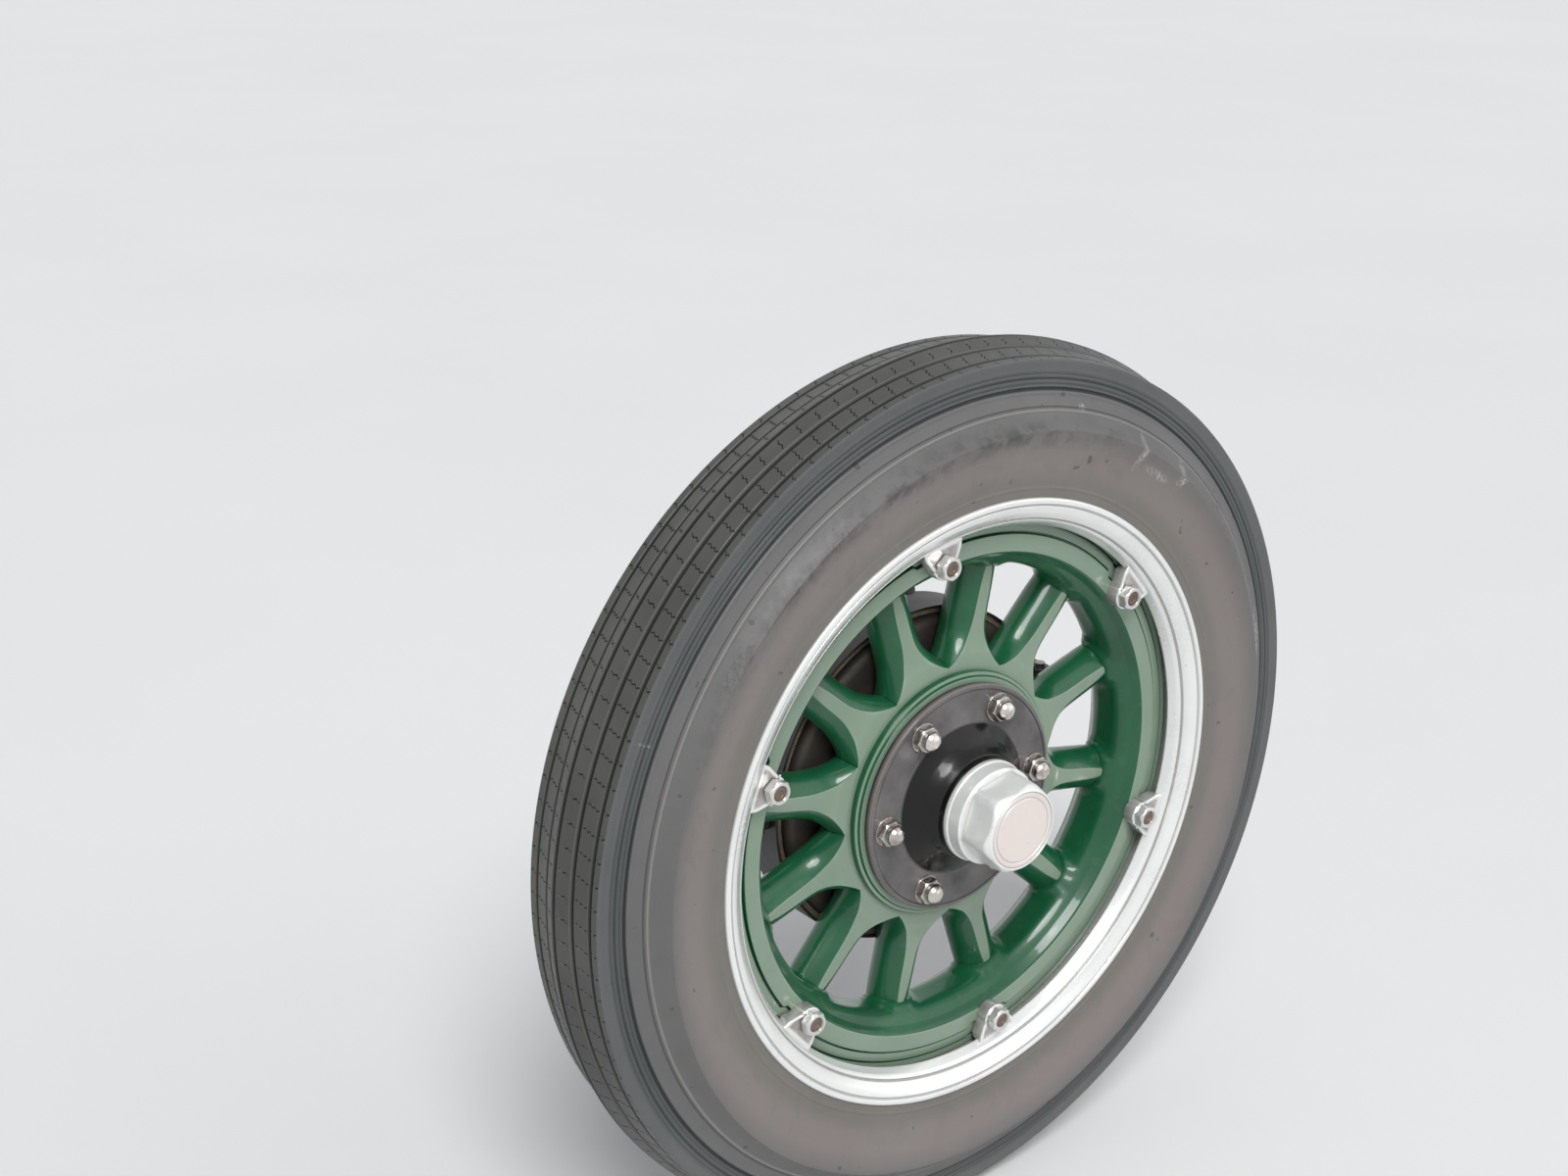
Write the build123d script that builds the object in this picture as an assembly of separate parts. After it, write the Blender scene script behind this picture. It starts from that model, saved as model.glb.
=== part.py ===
# Artillery wheel with a demountable rim, on the end of its driven axle.
# Millimetres. Y runs along the axle, from the hub cap (-Y) inboard (+Y); X is forward, Z is up.
# The origin is on the axle's centre line, at the cut inner end of the housing tube.
from build123d import *
from math import cos, sin, tan, radians, sqrt
import os

# Stations along the axle, as distances inboard of the rim's outer edge
rim_edge_y = -330.0              # the rim's outer edge, measured from the tube's cut end
rim_width = 120.0
felloe_front = 22.0
felloe_depth = 72.0
spoke_middle = 60.0
foot_depth = 30.0                # spoke feet, front to back
spoke_ring_thick = 8.0
hub_plate_thick = 8.0
hub_flange_thick = 9.0
drum_web_thick = 4.0
drum_depth = 46.0
brake_gap = 6.0                  # between the drum's open edge and the anchor plate

# Rim
rim_edge_r = 283.0
bead_seat_r = 267.0
rim_wall = 4.5
roll_r = 2.2                     # rounding of the rolled edge
groove_wide = 1.6
groove_deep = 1.0
rim_dish = 6.5                   # how deep the concave band lies at its inner side
dish_bulge = 0.8
rim_band_r = 264.0
rim_lip_r = 252.5                # inner edge of the turned-in lips
rim_lip = 15.0                   # station of the front lip's edge
flange_fillet = 5.0

# Tyre
tyre_r = 411.5
tyre_half_width = 71.0
wall_flat_r = 344.0              # where the tyre is widest
shelf_r = 390.5                  # the foot of the tread's square side
shelf_half = 46.5
tread_edge_r = 400.5
tread_half = 48.0
wall_bulge = 3.2
flank_bulge = 7.4
crown_bulge = 2.7
inner_bulge = 5.0
tyre_wall = 10.0
tread_thick = 15.0
bead_thick = 17.0
seat_gap = 0.3                   # clearance of curved faces that seat on each other

# Felloe
felloe_wall = 3.5
felloe_lip_r = 247.0
felloe_lip_wide = 3.5            # the lip stepped back round the flat front ring
felloe_step = 1.6
felloe_ring_wide = 14.5          # the flat front ring
felloe_round = 5.0
felloe_crown = 13.0              # how far the web bulges towards the hub
felloe_seat_wide = 27.0          # the back flange, which the rim's lip rests on
boss_proud = 3.0
boss_long = 12.0
boss_half_width = 20.0
boss_half_depth = 25.0
notch_width = 46.0
notch_deep = 4.0
lip_gap = 0.8                    # between a lug's shoulder and its notch

# Spokes
spoke_count = 12
spoke_phase = 19.0               # degrees from X to the first spoke
tenon_r = 11.0
tenon_long = 11.5
foot_inner_r = 46.0
foot_outer_r = 116.0
# radius, half flat, half width and half depth of each section, from the foot outwards
spoke_sections = (
    (foot_outer_r, 29.5, 33.0, foot_depth / 2),
    (127.0, 20.5, 29.0, 17.0),
    (141.0, 12.0, 20.0, 19.0),
    (160.0, 9.8, 17.0, 20.0),
)
spoke_end_section = (9.0, 16.0, 20.0)

# Hub
ring_outer_r = 115.0
ring_step = 4.0
ring_step_high = 2.5
plate_r = 106.0
plate_edge = 3.0
barrel_base_r = 60.0
barrel_fillet = 7.0
barrel_bulge = 2.6
barrel_neck_r = 48.0
barrel_neck = 1.0                # station of the barrel's outer end
barrel_collar = 5.0
sleeve_r = 44.0
flange_r = 99.0
hub_bolt_count = 6
hub_bolt_phase = 64.7
hub_bolt_circle_r = 87.3
hub_bolt_r = 5.5
bolt_gap = 0.1
hub_nut_flats = 19.0
hub_nut_high = 8.5
hub_nut_cover = 2.0              # metal over the bolt's end
acorn_high = 6.0
acorn_r = 8.0
bolt_head_high = 6.0

# Hub cap
cap_skirt_r = 47.0
cap_bead = 4.0
bead_bulge = 1.0
cap_body_r = 45.0
cap_body_long = 19.0
cap_chamfer = 2.5
cap_flats = 76.0
cap_corner_r = 42.5
cap_long = 50.0
cap_face_r = 34.0
cap_rim_wide = 2.5
cap_recess = 1.5
cap_round = 12.0
cap_round_bulge = 2.0
cap_wall = 3.0

# Lugs
lug_count = 6
lug_phase = 41.4
lug_circle_r = 237.0
lug_foot_r = 258.0
lug_foot_width = 40.0
lug_foot_step = 7.0
lug_foot_taper = 1.5
lug_end_r = 12.5
lug_face = 10.0                  # station of a lug's outer face
lug_stud_r = 5.5
lug_nut_flats = 20.0
lug_nut_high = 9.0
stud_recess = 1.5
stud_head_wide = 20.0
stud_head_deep = 11.0
stud_head_high = 5.0

# Valve
valve_phase = 106.0
valve_station = 46.0
valve_r = 4.0
valve_long = 52.0
valve_cap_r = 5.2
valve_cap_long = 14.0
valve_gap = 2.0

# Brake
drum_r = 152.0
drum_wall = 5.0
drum_corner = 8.0
lining_gap = 0.8
lining_thick = 5.0
lining_width = 36.0
band_thick = 2.5
band_width = 40.0
band_opening = 22.0              # degrees
lining_opening = 26.0            # degrees
ear_high = 27.0
ear_thick = 7.0
ear_width = 24.0
ear_bore = 17.0                  # from the band's inner face out to the screw
stop_high = 6.0                  # lug at the back of the band
anchor_thick = 6.0
anchor_hub_r = 66.0
anchor_arm_width = 46.0
anchor_pad = 12.0
anchor_pad_width = 30.0
screw_r = 5.0
screw_over = 24.0                # screw length past each ear
screw_nut_high = 8.0
screw_nut_flats = 17.0
spring_wall = 3.2
lever_long = 64.0
lever_width = 20.0
lever_thick = 6.0
lever_eye_r = 5.5

# Axle
shaft_r = 19.0
shaft_waist_r = 16.0
shaft_inset = 6.0
bearing_r = 36.0
bearing_width = 18.0
bearing_play = 0.05
bearing_inset = 6.0
carrier_r = 46.0
carrier_gap = 16.0               # between the drum's web and the carrier's nose
carrier_flange_thick = 8.0
tube_r = 31.75
tube_wall = 5.5
spigot_r = 31.0                  # the tube's machined inner end
spigot_long = 56.0
cone_long = 26.0
seat_station = 226.0             # middle of the spring seat
seat_wide = 104.0
seat_long = 88.0
seat_post_wide = 58.0
seat_high = 50.0
seat_thick = 12.0
u_bolt_wide = 78.0
u_bolt_long = 60.0
u_bolt_hole_r = 6.5
fit_gap = 0.1                    # clearance of a bore on its shaft or tube
cut_over = 1.0                   # how far a cutting shape runs past a face
quarter = 1 - sqrt(0.5)          # bulge of a quarter circle, as a share of its radius

# Worked-out radii and places, all in the part's own frame
felloe_step_r = felloe_lip_r - felloe_lip_wide
felloe_ring_r = felloe_step_r - felloe_ring_wide
felloe_web_r = felloe_ring_r - felloe_round
felloe_crown_r = felloe_web_r - felloe_crown
felloe_back_r = felloe_ring_r + felloe_seat_wide
spoke_y = rim_edge_y + spoke_middle
foot_front_y = spoke_y - foot_depth / 2
foot_back_y = spoke_y + foot_depth / 2
ring_front_y = foot_front_y - spoke_ring_thick
plate_front_y = ring_front_y - hub_plate_thick
flange_back_y = foot_back_y + hub_flange_thick
web_back_y = flange_back_y + drum_web_thick
drum_back_y = flange_back_y + drum_depth
anchor_front_y = drum_back_y + brake_gap
anchor_back_y = anchor_front_y + anchor_thick
carrier_nose_y = web_back_y + carrier_gap
bearing_front_y = carrier_nose_y + bearing_inset
bearing_back_y = bearing_front_y + bearing_width
felloe_front_y = rim_edge_y + felloe_front
felloe_back_y = felloe_front_y + felloe_depth
rim_middle_y = rim_edge_y + rim_width / 2
rim_back_y = rim_edge_y + rim_width
band_step_y = rim_edge_y + rim_dish + groove_deep
lip_front_y = rim_edge_y + rim_lip
lug_face_y = rim_edge_y + lug_face
nut_low_y = plate_front_y - hub_nut_high
spoke_end_r = felloe_crown_r - boss_proud
barrel_end_y = rim_edge_y + barrel_neck
lining_inner_r = drum_r + lining_gap
band_inner_r = lining_inner_r + lining_thick
band_outer_r = band_inner_r + band_thick
band_y = (flange_back_y + drum_corner + drum_back_y) / 2
band_lean = radians(band_opening / 2)
screw_x = (band_inner_r + ear_bore) * cos(band_lean)
screw_half = band_inner_r * sin(band_lean) + ear_thick + screw_over
# height where a nut on the screw meets the slanted outer face of an ear
ear_face_z = screw_x * tan(band_lean) + ear_thick / cos(band_lean) + screw_nut_flats / sqrt(3) * tan(band_lean)
seat_y = rim_edge_y + seat_station

os.makedirs("parts", exist_ok=True)
nodes = {}


def outline(start, *steps):
    # A closed face: a step is a point for a line, or a point and a bulge for an arc.
    # The bulge is how far the arc stands off its chord, to the left of the way it is drawn.
    edges = []
    first = Vector(*start)
    here = first
    for step in steps:
        bend = isinstance(step[0], tuple)
        there = Vector(*(step[0] if bend else step))
        if bend:
            chord = there - here
            side = Vector(-chord.Y, chord.X).normalized()
            edges.append(ThreePointArc(here, here + chord / 2 + side * step[1], there))
        else:
            edges.append(Line(here, there))
        here = there
    if here != first:
        edges.append(Line(here, first))
    return make_face(Wire(edges))


def turned(start, *steps):
    # An outline of (radius, y) points turned about the axle
    return revolve(outline(start, *steps), Axis.Y)


def slab(sketch, front_y, back_y):
    # A sketch seen from the front, made solid between two stations
    return extrude(Plane.XZ.offset(-back_y) * sketch, back_y - front_y)


def upright(sketch, x, y, low_z, high_z):
    # A sketch seen from above, made solid between two heights
    return extrude(Plane((x, y, low_z), z_dir=(0, 0, 1)) * sketch, high_z - low_z)


def spot(radius, angle):
    # A place on the wheel's face, seen from the front
    return Pos(radius * cos(radians(angle)), radius * sin(radians(angle)))


def about_axle(shape, angle):
    # Turns a shape that stands on Z to an angle measured from X, seen from the front
    return Rot(0, 90 - angle, 0) * shape


def bar_along_axle(radius, angle, circle_r, front_y, back_y):
    return slab(spot(circle_r, angle) * Circle(radius), front_y, back_y)


def angles(count, phase):
    return [phase + 360 / count * k for k in range(count)]


def hexagon(flats):
    return RegularPolygon(flats / sqrt(3), 6)


def round_the_axle(shape, count, phase):
    # Like pieces in one node: copies of a shape that stands on Z, each its own solid
    return Compound(children=[s for a in angles(count, phase) for s in about_axle(shape, a).solids()])


def tyre():
    y = rim_middle_y
    bead_half = rim_width / 2 - rim_wall - flange_fillet - seat_gap
    edge_half = rim_width / 2 - 2 * roll_r - seat_gap
    bead_r = bead_seat_r + seat_gap
    over_r = rim_edge_r + 2 * seat_gap
    half_tyre = turned(
        (bead_r, y - bead_half + bead_thick),
        (bead_r, y - bead_half),
        (over_r, y - edge_half),
        (over_r, y - edge_half - roll_r),
        ((wall_flat_r, y - tyre_half_width), -wall_bulge),
        ((shelf_r, y - shelf_half), -flank_bulge),
        (tread_edge_r, y - tread_half),
        ((tyre_r, y), -crown_bulge),
        (tyre_r - tread_thick, y),
        (shelf_r - tyre_wall, y - shelf_half + tyre_wall / 2),
        ((wall_flat_r, y - tyre_half_width + tyre_wall), inner_bulge),
        ((over_r, y - bead_half + bead_thick), inner_bulge),
    )
    return half_tyre + half_tyre.mirror(Plane.XZ.offset(-y))


def rim():
    e = rim_edge_y
    back = rim_back_y
    roll = roll_r * quarter
    base_r = bead_seat_r - rim_wall
    neck_r = rim_edge_r - roll_r
    dish_r = neck_r - roll_r - groove_wide
    lip_back_y = lip_front_y + rim_wall
    seat_face_y = felloe_back_y - felloe_wall
    return turned(
        (neck_r, e + 2 * roll_r),
        ((rim_edge_r, e + roll_r), roll),
        ((neck_r, e), roll),
        (dish_r + groove_wide, e + 2 * groove_deep),
        (dish_r, e + groove_deep),
        ((bead_seat_r, e + rim_dish), -dish_bulge),
        (bead_seat_r - groove_wide, e + rim_dish + 2 * groove_deep),
        (rim_band_r, band_step_y),
        (rim_lip_r, lip_front_y),
        (rim_lip_r, lip_back_y),
        (rim_lip_r + flange_fillet, lip_back_y),
        (base_r, lip_back_y + flange_fillet),
        (base_r, seat_face_y - rim_wall - flange_fillet),
        (rim_lip_r, seat_face_y - rim_wall),
        (rim_lip_r, seat_face_y),
        (felloe_back_r + seat_gap, seat_face_y),
        (base_r, seat_face_y + flange_fillet),
        (bead_seat_r - groove_wide, back - rim_dish),
        (neck_r - roll_r, back - groove_deep),
        (neck_r, back),
        ((rim_edge_r, back - roll_r), roll),
        ((neck_r, back - 2 * roll_r), roll),
        (bead_seat_r, back - rim_wall - flange_fillet),
        (bead_seat_r, e + rim_wall + flange_fillet),
    )


def felloe_channel():
    # The pressed section: flat ring with a stepped lip, crowned web, back wall
    front = felloe_front_y
    back = felloe_back_y
    t = felloe_wall
    web_r = felloe_web_r
    deep_front = front + felloe_round
    deep_back = back - felloe_round
    crown = felloe_crown
    bend = felloe_round * quarter
    return turned(
        (felloe_lip_r, front + felloe_step + t),
        (felloe_lip_r, front + felloe_step),
        (felloe_step_r, front + felloe_step),
        (felloe_step_r, front),
        (felloe_ring_r, front),
        ((web_r, deep_front), bend),
        ((web_r, deep_back), crown),
        ((felloe_ring_r, back), bend),
        (felloe_back_r, back),
        (felloe_back_r, back - t),
        (felloe_ring_r, back - t),
        (web_r + t, deep_back - t / 2),
        ((web_r + t, deep_front + t / 2), -crown),
        (felloe_ring_r, front + t),
        (felloe_step_r, front + t),
        (felloe_step_r, front + felloe_step + t),
    )


def felloe():
    front = felloe_front_y
    lip_back_y = front + felloe_step + felloe_wall + cut_over
    boss_top = spoke_end_r + boss_long
    boss = upright(Ellipse(boss_half_width, boss_half_depth), 0, spoke_y, spoke_end_r, boss_top)
    socket = upright(Circle(tenon_r + seat_gap), 0, spoke_y, spoke_end_r - cut_over, boss_top + cut_over)
    body = felloe_channel()
    for angle in angles(spoke_count, spoke_phase):
        body += about_axle(boss, angle)
    for angle in angles(spoke_count, spoke_phase):
        body -= about_axle(socket, angle)
    for angle in angles(lug_count, lug_phase):
        notch = spot(felloe_lip_r, angle) * Rot(0, 0, angle) * Rectangle(2 * notch_deep, notch_width)
        body -= slab(notch, front - cut_over, lip_back_y)
        body -= bar_along_axle(lug_stud_r + bolt_gap, angle, lug_circle_r, front - cut_over, lip_back_y)
    valve_y = rim_edge_y + valve_station
    valve_hole = upright(Circle(valve_r + valve_gap), 0, valve_y, spoke_end_r, felloe_ring_r)
    return body - about_axle(valve_hole, valve_phase)


def spoke_section(radius, flat, wide, deep):
    front = spoke_y - deep
    back = spoke_y + deep
    bulge = wide - flat
    return Pos(0, 0, radius) * outline(
        (-flat, front),
        (flat, front),
        ((flat, back), -bulge),
        (-flat, back),
        ((-flat, front), -bulge),
    )


def spoke():
    # The upright spoke: blade lofted over the sections, mitred foot, round tenon
    sections = [spoke_section(*row) for row in spoke_sections]
    blade = loft(sections)
    shank = loft([sections[-1], spoke_section(spoke_end_r, *spoke_end_section)])
    foot_width = 4 * spoke_sections[0][2]
    foot = slab(Pos(0, (foot_inner_r + foot_outer_r) / 2) * Rectangle(foot_width, foot_outer_r - foot_inner_r),
                foot_front_y, foot_back_y)
    half = tan(radians(180 / spoke_count))
    reach = felloe_lip_r
    sector = Polygon((0, 0), (reach * half, reach), (-reach * half, reach), align=None)
    wedge = slab(sector, foot_front_y - foot_depth, foot_back_y + foot_depth)
    bore = slab(Circle(foot_inner_r), foot_front_y - cut_over, foot_back_y + cut_over)
    tenon = upright(Circle(tenon_r), 0, spoke_y, spoke_end_r, spoke_end_r + tenon_long)
    return ((blade + shank + foot) & wedge) - bore + tenon


def hub_bolt_holes(front_y, back_y):
    holes = [bar_along_axle(hub_bolt_r + bolt_gap, a, hub_bolt_circle_r, front_y - cut_over, back_y + cut_over)
             for a in angles(hub_bolt_count, hub_bolt_phase)]
    return Compound(children=holes)


def spoke_ring():
    step_r = ring_outer_r - ring_step
    step_y = ring_front_y + ring_step_high
    ring = turned(
        (foot_inner_r, foot_front_y),
        (ring_outer_r, foot_front_y),
        (ring_outer_r, step_y),
        (step_r, step_y),
        (step_r, ring_front_y),
        (foot_inner_r, ring_front_y),
    )
    return ring - hub_bolt_holes(ring_front_y, foot_front_y)


def hub_shell():
    # Flanged sleeve with the bell-shaped barrel
    front = plate_front_y
    bore = shaft_r + fit_gap
    shell = turned(
        (bore, barrel_end_y),
        (barrel_neck_r, barrel_end_y),
        (barrel_neck_r, barrel_end_y + barrel_collar),
        ((barrel_base_r, front - barrel_fillet), -barrel_bulge),
        ((barrel_base_r + barrel_fillet, front), barrel_fillet * quarter),
        (plate_r - plate_edge, front),
        ((plate_r, front + plate_edge), -plate_edge * quarter),
        (plate_r, ring_front_y),
        (sleeve_r, ring_front_y),
        (sleeve_r, web_back_y),
        (bore, web_back_y),
    )
    return shell - hub_bolt_holes(front, ring_front_y)


def hub_flange():
    ring = slab(Circle(flange_r) - Circle(sleeve_r + seat_gap), foot_back_y, flange_back_y)
    return ring - hub_bolt_holes(foot_back_y, flange_back_y)


def hub_bolts():
    bar = bar_along_axle(hub_bolt_r, 90, hub_bolt_circle_r, nut_low_y + hub_nut_cover, web_back_y)
    head = slab(spot(hub_bolt_circle_r, 90) * hexagon(hub_nut_flats), web_back_y, web_back_y + bolt_head_high)
    return round_the_axle(bar + head, hub_bolt_count, hub_bolt_phase)


def hub_nuts():
    tip_y = nut_low_y - acorn_high
    nut = slab(hexagon(hub_nut_flats), nut_low_y, plate_front_y)
    dome = Pos(0, tip_y + acorn_r, 0) * Sphere(acorn_r) & slab(hexagon(hub_nut_flats), tip_y, nut_low_y + cut_over)
    hole = slab(Circle(hub_bolt_r + bolt_gap), nut_low_y + hub_nut_cover, plate_front_y)
    return round_the_axle(Pos(0, 0, hub_bolt_circle_r) * (nut + dome - hole), hub_bolt_count, hub_bolt_phase)


def hub_cap():
    body_y = barrel_end_y - cap_body_long
    tip_y = rim_edge_y - cap_long
    bore = cap_body_r - cap_wall
    neck_r = cap_face_r - cap_wall
    body = turned(
        (bore, barrel_end_y),
        (cap_skirt_r, barrel_end_y),
        ((cap_skirt_r, barrel_end_y - cap_bead), bead_bulge),
        (cap_body_r, barrel_end_y - cap_bead),
        (cap_body_r, body_y + cap_chamfer),
        (cap_body_r - cap_chamfer, body_y),
        (neck_r, body_y),
        (neck_r, body_y + cap_wall),
        (bore, body_y + cap_wall),
    )
    crown = turned(
        (0, body_y),
        (cap_corner_r, body_y),
        (cap_corner_r, tip_y + cap_round),
        ((cap_face_r, tip_y), cap_round_bulge),
        (cap_face_r - cap_rim_wide, tip_y),
        (cap_face_r - cap_rim_wide, tip_y + cap_recess),
        (0, tip_y + cap_recess),
    )
    flats = slab(hexagon(cap_flats), tip_y - cut_over, body_y)
    hollow = slab(Circle(neck_r), tip_y + cap_recess + cap_wall, body_y)
    return body + ((crown & flats) - hollow)


def rim_lugs():
    # Wedge lugs: wide foot on the rim's lip, round end on the felloe's flat ring
    foot = lug_foot_width / 2
    waist_r = lug_foot_r - lug_foot_step
    shoulder = felloe_lip_r - notch_deep + lip_gap
    clear_y = felloe_front_y + cut_over
    plate = slab(outline(
        (-foot, lug_foot_r),
        (-foot + lug_foot_taper, waist_r),
        (-lug_end_r, lug_circle_r),
        ((lug_end_r, lug_circle_r), -lug_end_r),
        (foot - lug_foot_taper, waist_r),
        (foot, lug_foot_r),
    ), lug_face_y, felloe_front_y)
    over_rim = turned(
        (shoulder, clear_y),
        (shoulder, lip_front_y),
        (rim_lip_r, lip_front_y),
        (rim_band_r, band_step_y),
        (rim_band_r, clear_y),
    )
    hole = bar_along_axle(lug_stud_r + bolt_gap, 90, lug_circle_r, lug_face_y - cut_over, clear_y)
    return round_the_axle(plate - over_rim - hole, lug_count, lug_phase)


def lug_studs():
    seat_face_y = felloe_front_y + felloe_wall
    bar = bar_along_axle(lug_stud_r, 90, lug_circle_r, lug_face_y - lug_nut_high + stud_recess, seat_face_y)
    head = slab(spot(lug_circle_r, 90) * Rectangle(stud_head_wide, stud_head_deep),
                seat_face_y, seat_face_y + stud_head_high)
    return round_the_axle(bar + head, lug_count, lug_phase)


def lug_nuts():
    nut = slab(spot(lug_circle_r, 90) * (hexagon(lug_nut_flats) - Circle(lug_stud_r + bolt_gap)),
               lug_face_y - lug_nut_high, lug_face_y)
    return round_the_axle(nut, lug_count, lug_phase)


def valve_stem():
    y = rim_edge_y + valve_station
    high_r = bead_seat_r - rim_wall - seat_gap
    low_r = high_r - valve_long
    stem = upright(Circle(valve_r), 0, y, low_r, high_r)
    cap = upright(Circle(valve_cap_r), 0, y, low_r, low_r + valve_cap_long)
    return about_axle(stem + cap, valve_phase)


def brake_drum():
    front = flange_back_y
    inner = drum_r - drum_wall
    bore = sleeve_r + seat_gap
    drum = turned(
        (bore, front),
        (drum_r - drum_corner, front),
        ((drum_r, front + drum_corner), -drum_corner * quarter),
        (drum_r, drum_back_y),
        (inner, drum_back_y),
        (inner, web_back_y + drum_corner),
        ((inner - drum_corner, web_back_y), drum_corner * quarter),
        (bore, web_back_y),
    )
    return drum - hub_bolt_holes(front, web_back_y)


def open_ring(inner_r, outer_r, width, opening):
    # A band round the drum, open at the front of the car
    reach = 2 * outer_r
    half = reach * tan(radians(opening / 2))
    gap = Polygon((0, 0), (reach, -half), (reach, half), align=None)
    return slab(Circle(outer_r) - Circle(inner_r) - gap, band_y - width / 2, band_y + width / 2)


def brake_lining():
    return open_ring(lining_inner_r, band_inner_r, lining_width, lining_opening)


def brake_band():
    band = open_ring(band_inner_r, band_outer_r, band_width, band_opening)
    front = band_y - ear_width / 2
    back = band_y + ear_width / 2
    for side in (-1, 1):
        ear = Rot(0, 0, side * band_opening / 2) * Pos(band_inner_r + ear_high / 2, side * ear_thick / 2)
        band += slab(ear * Rectangle(ear_high, ear_thick), front, back)
    stop = Pos(-band_outer_r, 0) * Rectangle(2 * stop_high, ear_width)
    band += slab(stop - Circle(band_inner_r + band_thick / 2), front, back)
    return band - upright(Circle(screw_r + seat_gap), screw_x, band_y, -screw_half, screw_half)


def brake_screw():
    screw = upright(Circle(screw_r), screw_x, band_y, -screw_half, screw_half)
    for low_z in (-ear_face_z - screw_nut_high, ear_face_z):
        screw += upright(hexagon(screw_nut_flats), screw_x, band_y, low_z, low_z + screw_nut_high)
    return screw


def brake_spring():
    # Coil between the ears that opens the band
    inner_r = screw_r + seat_gap
    outer_r = inner_r + spring_wall
    half = (screw_x - outer_r) * tan(band_lean)
    return upright(Circle(outer_r) - Circle(inner_r), screw_x, band_y, -half, half)


def brake_anchor():
    # Plate bolted to the carrier's flange, with an arm and a pad that hold the band's stop
    pad_r = band_outer_r + stop_high
    reach = pad_r + anchor_pad
    arm = outline(
        (-reach, -anchor_arm_width / 2),
        (0, -anchor_hub_r),
        (0, anchor_hub_r),
        (-reach, anchor_arm_width / 2),
    )
    body = slab(arm + Circle(anchor_hub_r) - Circle(carrier_r + fit_gap), anchor_front_y, anchor_back_y)
    pad = Pos(-pad_r - anchor_pad / 2, 0) * Rectangle(anchor_pad, anchor_pad_width)
    return body + slab(pad, band_y - ear_width / 2, anchor_front_y)


def brake_lever():
    # Pull lever on the screw's upper end, with an eye for the rod
    low_z = ear_face_z + screw_nut_high
    pivot = Pos(-lever_long / 2, 0) * Circle(screw_r + fit_gap)
    eye = Pos(lever_long / 2, 0) * Circle(lever_eye_r)
    arm = SlotCenterToCenter(lever_long, lever_width) - pivot - eye
    return upright(Rot(0, 0, 90) * Pos(lever_long / 2, 0) * arm, screw_x, band_y, low_z, low_z + lever_thick)


def axle_housing():
    # Bearing carrier, flange for the anchor plate, cone, tube and its machined end
    flange_back = anchor_back_y + carrier_flange_thick
    bore = tube_r - tube_wall
    return turned(
        (bearing_r + fit_gap, carrier_nose_y),
        (carrier_r, carrier_nose_y),
        (carrier_r, anchor_back_y),
        (anchor_hub_r, anchor_back_y),
        (anchor_hub_r, flange_back),
        (carrier_r, flange_back),
        (tube_r, flange_back + cone_long),
        (tube_r, -spigot_long),
        (spigot_r, -spigot_long),
        (spigot_r, 0),
        (bore, 0),
        (bore, bearing_back_y),
        (bearing_r + fit_gap, bearing_back_y),
    )


def wheel_bearing():
    return slab(Circle(bearing_r) - Circle(shaft_r + bearing_play), bearing_front_y, bearing_back_y)


def axle_shaft():
    return turned(
        (0, barrel_end_y),
        (shaft_r, barrel_end_y),
        (shaft_r, bearing_back_y),
        (shaft_waist_r, bearing_back_y + shaft_r - shaft_waist_r),
        (shaft_waist_r, -shaft_inset),
        (0, -shaft_inset),
    )


def spring_seat():
    # Cast saddle on top of the tube, with a flat pad for the leaf spring
    pad = Pos(0, seat_high - seat_thick / 2) * Rectangle(seat_wide, seat_thick)
    post = Pos(0, seat_high / 2) * Rectangle(seat_post_wide, seat_high)
    block = slab(pad + post - Circle(tube_r + fit_gap), seat_y - seat_long / 2, seat_y + seat_long / 2)
    for x in (-u_bolt_wide / 2, u_bolt_wide / 2):
        for y in (seat_y - u_bolt_long / 2, seat_y + u_bolt_long / 2):
            block -= upright(Circle(u_bolt_hole_r), x, y, seat_high - seat_thick - cut_over, seat_high + cut_over)
    return block


nodes["tyre"] = tyre()
nodes["rim"] = rim()
nodes["felloe"] = felloe()
bolt_cut = hub_bolt_holes(foot_front_y, foot_back_y)
first_spoke = spoke()
for index, angle in enumerate(angles(spoke_count, spoke_phase)):
    nodes[f"spoke_{index + 1:02d}"] = about_axle(first_spoke, angle) - bolt_cut
nodes["spoke_ring"] = spoke_ring()
nodes["hub_shell"] = hub_shell()
nodes["hub_flange"] = hub_flange()
nodes["hub_bolts"] = hub_bolts()
nodes["hub_nuts"] = hub_nuts()
nodes["hub_cap"] = hub_cap()
nodes["rim_lugs"] = rim_lugs()
nodes["lug_studs"] = lug_studs()
nodes["lug_nuts"] = lug_nuts()
nodes["valve_stem"] = valve_stem()
nodes["brake_drum"] = brake_drum()
nodes["axle_shaft"] = axle_shaft()
nodes["axle_housing"] = axle_housing()
nodes["wheel_bearing"] = wheel_bearing()
nodes["brake_anchor"] = brake_anchor()
nodes["brake_band"] = brake_band()
nodes["brake_lining"] = brake_lining()
nodes["brake_screw"] = brake_screw()
nodes["brake_spring"] = brake_spring()
nodes["brake_lever"] = brake_lever()
nodes["spring_seat"] = spring_seat()

for name, shape in nodes.items():
    export_step(shape, f"parts/{name}.step")
print(len(nodes), "nodes written")
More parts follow.
